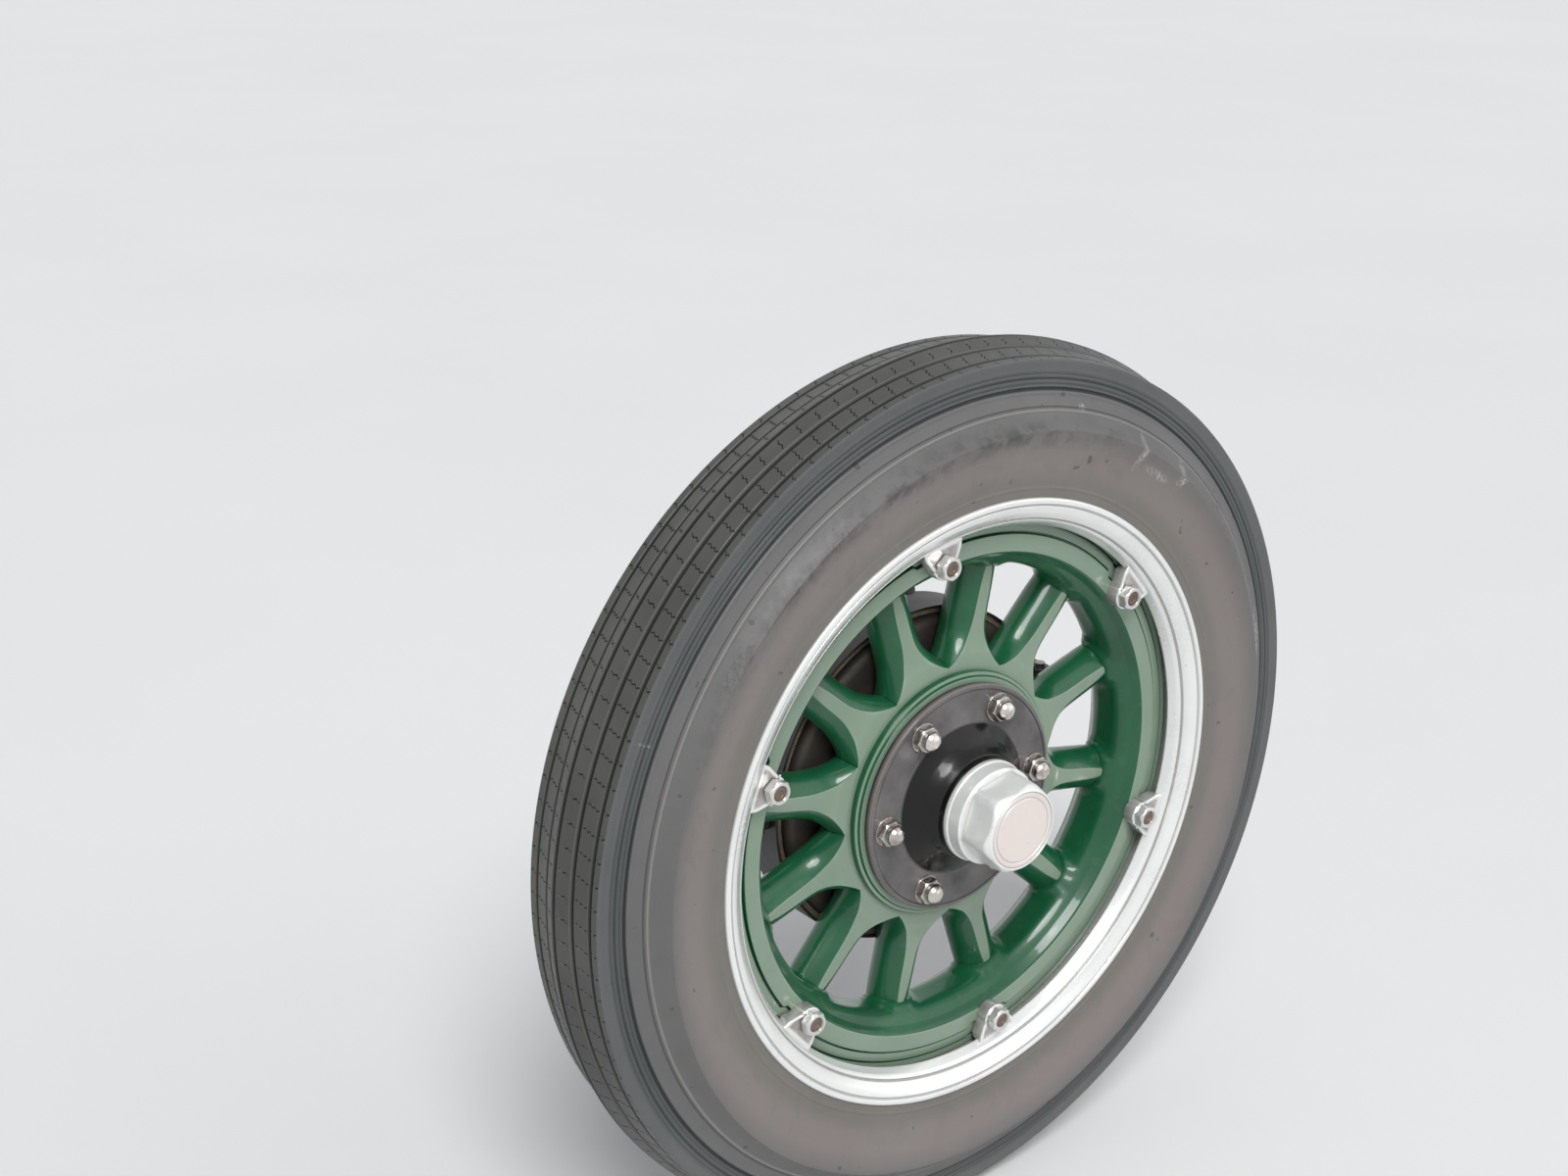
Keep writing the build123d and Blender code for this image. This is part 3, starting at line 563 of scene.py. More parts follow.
def wallForm():
    # The side is a profile turned about the axle. Each ring lifts the profile along its own normal by a
    # smooth bump of its width: 1 in the middle, falling to 0 at both sides.
    corner = np.array(tyre["outline"][tyre["cornerRow"]][:2]) * mm
    side = tyreOutline()
    side = side[np.argmin(np.linalg.norm(side - corner, axis=1)):]
    length = runLength(side)
    stations = [np.linspace(0, length[-1], 48)]
    for radius, wide, height, dark in tyre["rings"]:
        middle = np.interp(-radius * mm, -side[:, 0], length)
        stations.append(middle + wide * mm * np.array([-0.6, -0.4, -0.2, 0, 0.2, 0.4, 0.6]))
    run = np.unique(np.clip(np.concatenate(stations), 0, length[-1]))
    run = run[np.append(True, np.diff(run) > 0.25 * mm)]
    base = np.stack([np.interp(run, length, side[:, k]) for k in (0, 1)], -1)
    slope = np.gradient(base, run, axis=0)
    slope /= np.linalg.norm(slope, axis=1)[:, None]
    normal = np.stack([-slope[:, 1], slope[:, 0]], -1)
    normal *= np.sign(normal[len(normal) // 2, 1])
    lift, hollow, worn = np.zeros((3, len(run)))
    for radius, wide, height, dark in tyre["rings"]:
        middle = np.interp(-radius * mm, -side[:, 0], length)
        bump = 1 - smoothStep(0.2, 0.6, np.abs(run - middle) / (wide * mm))
        lift += height * mm * bump
        # painted shade: each groove is darkened by its strength
        hollow = np.maximum(hollow, bump * dark)
        worn = np.maximum(worn, bump * (height > 0.9) * 0.7)
    outer = base + normal * lift[:, None]
    radius = base[:, 0] / mm
    cool = smoothStep(322, 352, radius)
    band = smoothStep(374.5, 377, radius) * (1 - 0.3 * smoothStep(384, 390, radius))
    # closed by the bead, the inner wall and the tread's underside
    half = outer[-1, 1]
    seat = rimHigh.z - 15.7 * mm
    inside = softened([(seat, half - 3.2 * mm, 0), (seat, half - tyre["beadWide"] * mm, 4 * mm),
                       (0.300, 0.053, 30 * mm), (0.342, 0.0610, 40 * mm), (0.381, 0.0420, 20 * mm),
                       (0.3960, 0.0, 0)], arcSteps=6)
    under = softened([(0.4010, 0, 0), (0.3950, 0.0400, 10 * mm),
                      (outer[0, 0] - 1.2 * mm, outer[0, 1] - 1.6 * mm, 0)])
    right = np.vstack([under, outer, inside])
    plain = lambda value: np.concatenate([np.full(len(under), value[0]), value,
                                          np.full(len(inside), value[-1])])
    rimSide = smoothStep(312, 296, radius)
    marks = {"cool": plain(cool), "band": plain(band), "worn": plain(worn), "deep": plain(hollow),
             "rimSide": plain(rimSide),
             "tread": np.zeros(len(right))}
    loop = np.vstack([right * (1, -1), (right[::-1])[1:-1]])
    marks = {key: np.concatenate([value, value[::-1][1:-1]])[:, None] for key, value in marks.items()}
    loop[:, 1] += wheelMiddle
    return turnedForm(loop, tyre["columns"], **marks)


def treadForm():
    # A grid across and around the tread. Across, each groove has steep sides and a flat floor. Around,
    # every pitch has one cut, and the columns follow it: they lean by the slant and wave of the rib that
    # they cross.
    t = tread
    half = t["grooveWide"] / 2
    grooves = np.array(t["grooves"])
    edge = tyre["outline"][2][1]
    outline = tyreOutline()
    length = runLength(outline)
    corner = np.array(tyre["outline"][tyre["cornerRow"]][:2]) * mm
    bottom = length[np.argmin(np.linalg.norm(outline - corner, axis=1))]
    rows = [(g + off, deep) for g in grooves
            for off, deep in ((-half - 0.5, 0), (-half, 0.12), (-half + 0.3, 0.92),
                              (-half + 0.6, 1), (half - 0.6, 1), (half - 0.3, 0.92), (half, 0.12),
                              (half + 0.5, 0))]
    borders = np.concatenate([[-edge - 1.5], grooves, [edge + 1.5]])
    for low, high in zip(borders[:-1], borders[1:]):
        rows += [(value, 0) for value in np.linspace(low + half + 0.5, high - half - 0.5,
                                                     t["ribRows"] + 2)[1:-1]]
    rows = np.array(sorted(rows))
    across, dip = rows[:, 0], rows[:, 1]
    # past the shoulder's edge the rows go on down the square side
    rising = np.maximum.accumulate(outline[:, 1])
    along = np.interp(np.abs(across) * mm, rising[:np.argmax(rising)], length[:np.argmax(rising)])
    tail = np.linspace(along[0], bottom + 0.6 * mm, 9)[1:]
    along = np.concatenate([tail[::-1], along, tail])
    side = np.concatenate([-np.ones(8), np.sign(across + 1e-9), np.ones(8)])
    dip = np.pad(dip, 8)
    across = np.concatenate([-edge - (tail[::-1] - along[8]) / mm, across, edge + (tail - along[8]) / mm])
    radius = np.interp(along, length, outline[:, 0])
    y = np.interp(along, length, outline[:, 1]) * side
    # cuts: where on each rib, how far they lean
    cutShare = np.zeros(len(across))
    lean = np.zeros(len(across))
    for middle, reach, slant, wave in t["cuts"]:
        for mirror in (-1, 1):
            off = across - mirror * middle
            near = np.abs(off) < t["ribHalf"]
            cutShare += near * (1 - smoothStep(reach - 1.2, reach + 0.4, np.abs(off))) * (dip < 0.1)
            lean = np.where(near, slant * off + wave * np.sin(off * 1.25), lean)
    pitch = 2 * math.pi / t["pitches"]
    wide = t["sipeWide"] * mm / tyreHigh.z / pitch
    columns = np.array([0, 0.5 * wide, wide, wide + 0.18, 0.5 + wide / 2, 0.82])
    columnCut = np.array([0, 1, 0, 0, 0, 0])
    turn = ((np.arange(t["pitches"])[:, None] + columns[None, :]) * pitch).reshape(-1)
    cut = np.tile(columnCut, t["pitches"])
    angle = turn[None, :] + (lean * mm / tyreHigh.z)[:, None]
    deep = (dip * t["grooveDeep"] * mm)[:, None] + cutShare[:, None] * cut[None, :] * t["sipeDeep"] * mm
    r = radius[:, None] - deep
    top = np.stack([r * np.cos(angle), y[:, None] + 0 * angle, r * np.sin(angle)], -1)
    # the underside, out of sight, closes the band
    under = [np.stack([rr * np.cos(angle[0]), yy + 0 * angle[0], rr * np.sin(angle[0])], -1)
             for rr, yy in ((radius[-1] - 0.6 * mm, y[-1] - 1.0 * mm), (0.3955, 0.0395), (0.4015, 0.0),
                            (0.3955, -0.0395), (radius[0] - 0.6 * mm, y[0] + 1.0 * mm))]
    points = np.concatenate([top, np.array(under)])
    points[..., 1] += wheelMiddle
    ones = np.ones((5, len(turn)))
    wornEdge = np.concatenate([((dip > 0.05) * (dip < 0.5) * 0.35)[:, None] * ones[:1], 0 * ones])
    # painted shade in the groove floors and the cuts; the hidden underside counts as fully dark
    grooveShade = np.concatenate([dip[:, None] * 0.95 + cutShare[:, None] * cut[None, :] * 0.8, ones])
    sideways = smoothStep(edge - 0.5, edge + 1.5, np.abs(across))
    tone = np.concatenate([(1 - sideways)[:, None] * ones[:1], ones])
    return gridForm(points, True, cool=1.0, band=0.45 * (1 - tone), worn=wornEdge,
                    deep=np.clip(grooveShade, 0, 0.95), tread=tone, rimSide=0.0)


makePiece("tyreWalls", wallForm(), paint["rubber"], "wheel", ["tyre"], 50)
makePiece("tyreTread", treadForm(), paint["rubber"], "wheel", ["tyre"], 35)
print("tyre made")


# rim
rim = {"edge": 283.0, "lipRadius": 254.5, "wide": 120.0, "columns": 256}


def rimForm():
    # A rolled section turned about the axle: rolled edge, groove, concave band, groove, inner band, lip,
    # and the drop centre and back edge behind. Stations are counted inboard from the front edge.
    r = rim
    e, wide = r["edge"], r["wide"]
    section = [
        (e - 2.2, 5.2, 1.2), (e, 4.2, 1.8), (e, -0.0, 2.1), (e - 5.2, 0.0, 1.8), (e - 5.7, 2.0, 0.5),
        (e - 7.3, 2.2, 0.5), (e - 7.8, 1.2, 0.8), (e - 13.5, 4.0, 14), (e - 19.4, 7.9, 0.9),
        (e - 19.9, 9.9, 0.5), (e - 21.2, 10.2, 0.5), (e - 21.8, 9.0, 0.8), (e - 24.5, 11.8, 10),
        (r["lipRadius"], 19.4, 1.2), (r["lipRadius"] + 0.4, 21.4, 0.9), (258.4, 21.6, 3), (262.5, 25.6, 4),
        (262.5, 78, 4), (253, 86, 1), (253, 90.5, 1), (256.3, 90.5, 0.5), (262.5, 95.5, 2),
        (265.4, wide - 6.5, 3), (e - 4.4, wide - 1, 1.5), (e - 2, wide, 1.4), (e, wide - 1, 1.6),
        (e, wide - 3.6, 1.4), (e - 2.6, wide - 4.2, 1.2), (268.5, wide - 9.5, 3), (267, wide - 16, 3),
        (267, 16, 3), (269, 9.6, 3),
    ]
    profile = softened(np.array(section) * mm, looped=True, arcSteps=5)
    profile[:, 1] += rimFront
    closed = evenly(np.vstack([profile, profile[:1]]), 7 * mm)[:-1]
    station = (closed[:, 1] - rimFront) / mm
    radius = closed[:, 0] / mm
    # painted shade in the two grooves of the front face; behind the lip the rim is made darker too
    soiled = 0.75 * np.maximum(np.exp(-((radius - (e - 6.5)) / 0.9) ** 2) * (station < 4),
                               np.exp(-((radius - (e - 20.5)) / 1.0) ** 2) * (station < 12))
    soiled = np.maximum(soiled, 0.5 * (station > 20))
    return turnedForm(closed, r["columns"], soiled=soiled[:, None], dirty=0.0)


makePiece("rimShell", rimForm(), paint["silver"], "wheel", ["rim"], 40)
print("rim made")


# felloe
felloe = {
    "set": 5.0,                  # how far the front ring stands behind the solid's front
    "shelf": 261.6, "shelfStep": 3.4, "lip": 254.0, "stepRadius": 243.9, "step": 2.0, "groove": 6.0,
    "ring": 229.0, "round": 5.0, "crown": 211.0, "back": 256.0,
    "wall": 3.5, "columns": 660,
    # pressed collars round each spoke's end: how far past the spoke's side, height
    "collars": ((3.6, 3.2), (8.2, 1.5)),
    "spokeHalfWide": 20.5, "spokeHalfDeep": 20.0, "spokeLean": 11.0,
    "notchHalf": 23.0, "notchDeep": 4.0,
    "valveDip": 3.0, "valveDipReach": (5.0, 6.6),
}


def felloeForm():
    # A pressed channel turned about the axle. On the side towards the hub each spoke stands in two round
    # steps: the height of a step depends on the distance from the spoke's oval outline.
    f = felloe
    front, back, t = felloeFront / mm + f["set"], felloeBack / mm, f["wall"]
    web = f["ring"] - f["round"]
    middle = (front + back) / 2
    section = [
        (f["shelf"], front + f["shelfStep"] + t, 0.6), (f["shelf"], front + f["shelfStep"], 1.0),
        (f["lip"] + 1.5, front + f["shelfStep"], 0.8), (f["lip"] + 1.3, front + f["groove"], 0.3),
        (f["lip"] + 0.2, front + f["groove"], 0.3), (f["lip"], front + f["step"], 1.0),
        (f["stepRadius"] + 1.6, front + f["step"], 0.7),
        (f["stepRadius"] + 1.4, front + f["groove"] - 1.5, 0.3),
        (f["stepRadius"] + 0.3, front + f["groove"] - 1.5, 0.3), (f["stepRadius"], front, 0.9),
        (f["ring"] - 1.5, front, 4.2),
        (web - 2, front + 8, 8), (f["crown"] + 1.2, middle - 16, 26), (f["crown"] + 1.2, middle + 16, 26),
        (web - 2, back - 8, 8), (f["ring"] - 1.5, back, 4.2), (f["back"], back, 0.6),
        (f["back"], back - t, 0.6), (f["ring"], back - t, 3), (web + t - 1, back - 8, 6),
        (f["crown"] + t + 2, middle + 14, 24), (f["crown"] + t + 2, middle - 14, 24),
        (web + t - 1, front + 8, 6), (f["ring"], front + t, 3), (f["stepRadius"] - 2, front + t, 1),
        (f["stepRadius"], front + f["groove"] + t, 1), (f["lip"] + 2, front + f["groove"] + t, 1),
    ]
    profile = softened(np.array(section) * mm, looped=True, arcSteps=3)
    # the skin that shows has close points, because the collars are pressed in it, and the inner skin has few
    turnBack = np.argmax((profile[:, 0] >= (f["back"] - 0.5) * mm) & (profile[:, 1] > middle * mm))
    skin = evenly(profile[:turnBack + 1], 2.8 * mm)
    closed = np.vstack([skin, evenly(np.vstack([profile[turnBack:], profile[:1]]), 12 * mm)[1:-1]])
    points = turnedPoints(closed, f["columns"])
    angle = np.linspace(0, 360, f["columns"], endpoint=False)[None, :]
    radius, y = closed[:, :1], closed[:, 1:2]
    outerSkin = (np.arange(len(closed)) < len(skin))[:, None]
    fromRing = np.minimum(y / mm - front, back - y / mm)
    hubSide = smoothStep(228 * mm, 220 * mm, radius) * smoothStep(2.5, 11, fromRing) * outerSkin
    offSpoke = ((angle - spokeAngles[0] + 15) % 30) - 15
    sideways = np.radians(offSpoke) * radius / mm
    oval = np.hypot(sideways / f["spokeHalfWide"],
                    ((y - spokePlane) / mm - f["spokeLean"]) / f["spokeHalfDeep"])
    past = (oval - 1) * (f["spokeHalfWide"] + f["spokeHalfDeep"]) / 2
    rise = 0 * past
    for reach, high in f["collars"]:
        rise += high * (1 - smoothStep(reach - 1.3, reach + 0.9, past))
    offValve = (angle - valveAngle + 180) % 360 - 180
    fromValve = np.hypot(np.radians(offValve) * radius, y - valve["station"] * mm - rimFront) / mm
    rise -= f["valveDip"] * (1 - smoothStep(*f["valveDipReach"], fromValve))
    newRadius = radius - rise * mm * hubSide
    # notches in the lip under the lugs
    offLug = np.abs(((angle - lugAngles[0] + 30) % 60) - 30)
    inNotch = 1 - smoothStep(f["notchHalf"] - 2.0, f["notchHalf"] + 2.0, np.radians(offLug) * f["stepRadius"])
    lipShare = np.clip((radius / mm - f["ring"] - 4) / (f["stepRadius"] - f["ring"] - 4), 0, 1)
    lipShare *= np.clip((f["shelf"] - radius / mm) / (f["shelf"] - f["stepRadius"] - 2), 0, 1)
    pulled = radius - inNotch * f["notchDeep"] * lipShare * mm
    newRadius = np.where(y < (front + 12) * mm, newRadius - radius + pulled, newRadius)
    turn = np.radians(angle)
    points = np.stack([newRadius * np.cos(turn), y + 0 * turn, newRadius * np.sin(turn)], -1)
    return gridForm(points, True)


valve = {"station": 46.0, "high": 262.2, "long": 52.0, "stem": 4.0, "cap": 5.2, "capLong": 14.0}


def valveForm():
    # Stem and ridged cap, standing on Z: the cap's radius swings by a fine ripple round its side
    v = valve
    low = v["high"] - v["long"]
    profile = softened([(2.2, low, 0), (v["cap"] - 0.4, low, 0.8), (v["cap"], low + 2, 0.8),
                        (v["cap"], low + v["capLong"] - 1.5, 0.6), (v["stem"] + 0.3, low + v["capLong"], 0.5),
                        (v["stem"], low + v["capLong"] + 3, 0.5), (v["stem"], 226, 0.5),
                        (v["stem"] + 2.2, 227, 0.6), (v["stem"] + 2.2, 231, 0.6), (v["stem"], 232, 0),
                        (v["stem"], v["high"], 0)])
    profile = evenly(profile, 1.5)
    turn = np.linspace(0, 2 * math.pi, 64, endpoint=False)[None, :]
    onCap = smoothStep(low + 2, low + 3.5, profile[:, 1:]) * smoothStep(low + 12, low + 10.5, profile[:, 1:])
    r = profile[:, :1] - 0.35 * onCap * (0.5 + 0.5 * np.cos(turn * 16))
    points = np.stack([r * np.cos(turn), r * np.sin(turn), profile[:, 1:] + 0 * turn], -1) * mm
    points[..., 1] += rimFront + v["station"] * mm
    middle = rimFront + v["station"] * mm
    form = gridForm(points, False, [0, middle, low * mm], [0, middle, v["high"] * mm])
    return aboutAxle(form, valveAngle)


makePiece("felloeShell", felloeForm(), paint["green"], "wheel", ["felloe"], 45)
makePiece("valveStem", valveForm(), paint["valve"], "wheel", ["valve_stem"], 40)
print("felloe made")


# spokes
spoke = {
    # radius, half of the flat, half width, half depth, how far the middle leans back
    "sections": ((46, 20, 20, 15, 0), (104, 40, 42, 15, 0), (114, 36, 40, 15, 0),
                 (117.5, 30.5, 36, 15.2, 0.2), (120, 27, 33.5, 15.8, 1), (127, 20.5, 29, 17, 3.5),
                 (134, 15, 25.6, 18.2, 6.4),
                 (141, 11.5, 23, 19, 8.8), (147, 9, 21.8, 19.4, 10), (155, 6.8, 21.2, 19.8, 10.8),
                 (165, 5.8, 20.8, 20, 11), (186, 5.4, 20.5, 20, 11), (200, 4.2, 20.5, 20, 11),
                 (209, 2.2, 20.5, 20, 11), (213, 0.9, 20.5, 20, 11)),
    "crease": math.radians(50),  # how far round its oval the flank starts, which leaves a crease at the flat
    "half": math.radians(15),
}


def spokeForm():
    # A spoke standing on Z. At each radius the section is a flat front and back joined by flanks, and its
    # sides stop at the mitre planes that it shares with its neighbours. A flank is x = flat + (wide - flat)
    # * c, with c an oval's cosine that runs from 0 at the crease to 1 in the middle, and y = deep *
    # sin(turn) / sin(crease).
    table = np.array(spoke["sections"])
    radius = np.unique(np.concatenate([np.linspace(46, 112, 7), np.linspace(112, 160, 52),
                                       np.linspace(160, 213, 24)]))
    flat, wide, deep, lean = (np.interp(radius, table[:, 0], table[:, k]) for k in (1, 2, 3, 4))
    kernel = np.array([1, 2, 3, 4, 3, 2, 1]) / 16
    for values in (flat, wide, deep, lean):
        values[10:-3] = np.convolve(values, kernel, "same")[10:-3]
    crease = spoke["crease"]
    turn = np.linspace(-0.96, 0.96, 19) * crease
    across = np.linspace(-1, 1, 11)
    flat, wide, deep, lean, radius = (value[:, None] for value in (flat, wide, deep, lean, radius))
    # round the section: front flat, right flank, back flat, left flank, with a small rounding at each crease
    flankX = flat + (wide - flat) * (np.cos(turn) - math.cos(crease)) / (1 - math.cos(crease))
    flankY = deep * np.sin(turn) / math.sin(crease)
    inner, outer = flat - 0.25, flat + 0.2
    flankX = np.concatenate([inner, outer, flankX, outer, inner], 1)
    flankY = np.concatenate([-deep + 0.06, -deep + 0.22, flankY, deep - 0.22, deep - 0.06], 1)
    front = (flat - 0.7) * across
    x = np.concatenate([front, flankX, -front, -flankX[:, ::-1]], 1)
    y = np.concatenate([-deep + 0 * across, flankY, deep + 0 * across, flankY[:, ::-1]], 1) + lean
    limit = radius * math.tan(spoke["half"]) - 0.02
    x = np.clip(x, -limit, limit)
    points = np.stack([x * mm, y * mm + spokePlane, radius * mm + 0 * x], -1)
    ends = [[0, spokePlane, 46 * mm], [0, spokePlane + table[-1, 4] * mm, 213 * mm]]
    return gridForm(points, False, *ends)


oneSpoke = spokeForm()
for index, angle in enumerate(spokeAngles):
    node = f"spoke_{index + 1:02d}"
    makePiece(f"spokeBlade{index + 1:02d}", aboutAxle(oneSpoke, angle), paint["green"], "wheel", [node],
              32)
print("spokes made")


# hub
hub = {
    "ringOuter": 115.0, "ringStep": 4.0, "ringStepHigh": 2.5, "plate": 106.0, "bore": 44.2, "columns": 168,
    "barrelBase": 60.0, "filletEnd": 71.0, "neck": 48.0, "boltCircle": 87.3,
}


def ringForm():
    # Two steps with rounded edges, between the spokes' feet and the black plate
    h = hub
    front, back = ringLow.y / mm, ringHigh.y / mm
    out = h["ringOuter"]
    section = [(h["bore"], back, 0.5), (out, back, 0.4), (out, front + h["ringStepHigh"], 1.4),
               (out - h["ringStep"] + 0.4, front + h["ringStepHigh"] - 0.2, 0.9),
               (out - h["ringStep"] - 0.4, front, 1.3), (h["bore"], front, 0.5)]
    profile = softened(np.array(section) * mm, looped=True)
    closed = evenly(np.vstack([profile, profile[:1]]), 4 * mm)[:-1]
    return turnedForm(closed, h["columns"])


def hubForm():
    # Plate with a rolled edge, a fillet, and a bell-shaped barrel with a small collar under the cap
    h = hub
    front, back, end = plateFront / mm, ringLow.y / mm, barrelEnd / mm
    inner = shellHigh.y / mm
    section = [(19.2, end, 0.4), (h["neck"] - 0.6, end, 0.6), (h["neck"], end + 5, 1.0),
               (h["neck"] + 1.4, end + 6.2, 2), (53.5, end + 13, 30),
               (h["barrelBase"] - 0.6, front - 9, 22), (h["filletEnd"], front, 9),
               (h["plate"] - 4.6, front, 1.2), (h["plate"] - 3.6, front - 0.5, 0.8),
               (h["plate"], front - 0.1, 1.6), (h["plate"], back - 1, 1.0), (h["plate"] - 1, back, 0.4),
               (44, back, 0.4), (44, inner, 0.6), (19.2, inner, 0.4)]
    profile = softened(np.array(section) * mm, looped=True, arcSteps=7)
    closed = evenly(np.vstack([profile, profile[:1]]), 6 * mm)[:-1]
    # painted highlight: the plate's rolled front edge is marked to be made pale
    atEdge = np.exp(-((closed[:, 0] / mm - h["plate"]) / 1.0) ** 2) * (closed[:, 1] / mm < front + 1.5)
    return turnedForm(closed, h["columns"], worn=0.6 * atEdge[:, None])


nut = {"flats": 22.4, "washer": 13.5, "washerHigh": 1.8, "hexHigh": 9.5, "hexTop": 10.6, "domeRadius": 9.4,
       "domeHigh": 18.5, "neckRadius": 8.4}


def acornForm():
    # A nut seen from above has the hexagon's outline near its base; towards the top the smaller of the
    # hexagon and a turned envelope (washer, chamfer, neck, dome) is taken.
    n = nut
    corner = n["flats"] / math.sqrt(3)
    envelope = softened([(n["washer"], 0, 0), (n["washer"], n["washerHigh"], 0.5),
                         (n["washer"] - 1.0, n["washerHigh"], 0),
                         (corner, n["washerHigh"] + 0.1, 0), (corner, n["hexHigh"] - 2.2, 1.2),
                         (n["hexTop"], n["hexHigh"], 0.4), (n["neckRadius"], n["hexHigh"] + 0.3, 0.4),
                         (n["domeRadius"], n["hexHigh"] + 1.8, 0.8),
                         (n["domeRadius"] - 0.3, n["hexHigh"] + 4.2, 5), (6.4, n["domeHigh"] - 1.6, 6),
                         (3.2, n["domeHigh"] - 0.1, 4), (0.5, n["domeHigh"], 0)])
    envelope = evenly(envelope, 1.1)
    turn = np.linspace(0, 2 * math.pi, 66, endpoint=False)[None, :]
    onHex = (envelope[:, 1:] > n["washerHigh"] + 0.05)
    hexagon = softMin(hexRadius(turn, n["flats"]), corner * 0.985, 0.3)
    r = np.where(onHex, softMin(hexagon, envelope[:, :1], 0.25), envelope[:, :1])
    points = np.stack([r * np.cos(turn) * mm, plateFront - (envelope[:, 1:] + 0 * turn) * mm,
                       r * np.sin(turn) * mm], -1)
    points[..., 2] += hub["boltCircle"] * mm
    middle = hub["boltCircle"] * mm
    # painted shade where the hexagon meets its washer and under the dome
    high = envelope[:, 1:]
    shadeAndDirt = 0.55 * np.exp(-((high - n["washerHigh"] - 0.5) / 0.9) ** 2)
    shadeAndDirt = shadeAndDirt + 0.5 * np.exp(-((high - n["hexHigh"] - 0.4) / 0.8) ** 2)
    return gridForm(points, False, [0, plateFront, middle], [0, plateFront - n["domeHigh"] * mm, middle],
                    soiled=shadeAndDirt)


cap = {"skirt": 47.0, "bead": 4.4, "body": 45.2, "bodyLong": 19.0, "flats": 76.5, "corner": 42.6,
       "long": 51.0,
       "face": 37.0, "rimWide": 1.5, "groove": 1.1, "disc": 30.0, "phase": -18.0}


def capForm():
    # Turned skirt and body below, then six flats: the smaller of the hexagon and the turned envelope, whose
    # outer end curves in to the round face. The face has a raised rim, a recess and a low disc with a fine
    # bead.
    c = cap
    top = c["long"]
    envelope = softened([
        (40, 0, 0), (c["skirt"] - 0.3, 0, 1.0), (c["skirt"], 1.2, 1.0), (c["skirt"], c["bead"], 1.4),
        (c["body"] + 0.2, c["bead"] + 0.9, 0.5), (c["body"], c["bead"] + 2, 0.8),
        (c["body"] - 0.3, 13.2, 1.5), (c["body"] - 0.4, c["bodyLong"] - 2.2, 1.5),
        (c["body"] - 2.2, c["bodyLong"], 0.8), (c["corner"] - 0.6, c["bodyLong"] + 0.3, 0.3),
        (c["corner"], c["bodyLong"] + 1.4, 0.8), (c["corner"], 36.5, 12), (40.9, 45.4, 9),
        (c["face"], top - 0.4, 2.6), (c["face"] - c["rimWide"], top, 0.7),
        (c["face"] - c["rimWide"] - 0.3, top - c["groove"], 0.3),
        (c["face"] - c["rimWide"] - 1.1, top - c["groove"], 0.3),
        (c["face"] - c["rimWide"] - 1.5, top - 0.3, 0.4), (c["disc"] + 0.9, top - 0.3, 0.3),
        (c["disc"] + 0.4, top - 0.9, 0.3), (c["disc"] - 0.4, top - 0.9, 0.3),
        (c["disc"] - 0.9, top - 0.35, 0.3), (18, top - 0.3, 10), (2, top - 0.1, 0),
    ])
    envelope = evenly(envelope, 1.4)
    turn = np.linspace(0, 2 * math.pi, 168, endpoint=False)[None, :]
    high = envelope[:, 1:]
    hexagon = hexRadius(turn - math.radians(c["phase"]), c["flats"])
    onHex = high > c["bodyLong"] - 0.8
    outside = envelope[:, :1] > c["face"] - 0.9
    r = np.where(onHex & outside, softMin(hexagon, envelope[:, :1] + 0 * turn, 1.6), envelope[:, :1])
    points = np.stack([r * np.cos(turn), -(high + 0 * turn), r * np.sin(turn)], -1) * mm
    points[..., 1] += barrelEnd
    radius = envelope[:, :1]
    onTop = high > top - 1.3
    # darker lines in the face's groove, round the disc, at the body's top step and above the bead
    shadeAndDirt = 0.55 * onTop * (np.exp(-((radius - c["face"] + c["rimWide"] + 0.7) / 0.6) ** 2)
                           + np.exp(-((radius - c["disc"]) / 0.6) ** 2))
    shadeAndDirt = shadeAndDirt + 0.4 * np.exp(-((high - c["bodyLong"] - 0.2) / 0.6) ** 2)
    shadeAndDirt = shadeAndDirt + 0.4 * np.exp(-((high - c["bead"] - 1) / 0.6) ** 2)
    return gridForm(points, False, [0, barrelEnd, 0], [0, barrelEnd - (top - 0.1) * mm, 0], soiled=shadeAndDirt)


makePiece("spokeRing", ringForm(), paint["green"], "wheel", ["spoke_ring"], 40)
makePiece("hubPlate", hubForm(), paint["black"], "wheel", ["hub_shell"], 40)
makePiece("acornNuts", roundTheAxle(acornForm(), boltAngles), paint["nut"], "wheel", ["hub_nuts"],
          30)
makePiece("hubCap", capForm(), paint["cap"], "wheel", ["hub_cap"], 32)
print("hub made")


# lugs
lug = {
    "circle": 237.0, "footRadius": 256.4, "footHalf": 21.5, "footStep": 7.5, "taper": 1.5, "endRadius": 12.5,
    "face": 14.6, "edge": 1.4, "nutFlats": 20.0, "nutHigh": 9.2, "studRadius": 6.2, "studRecess": 0.8,
    "border": 0.9, "hollowShare": 0.76, "hollow": 0.9,
}


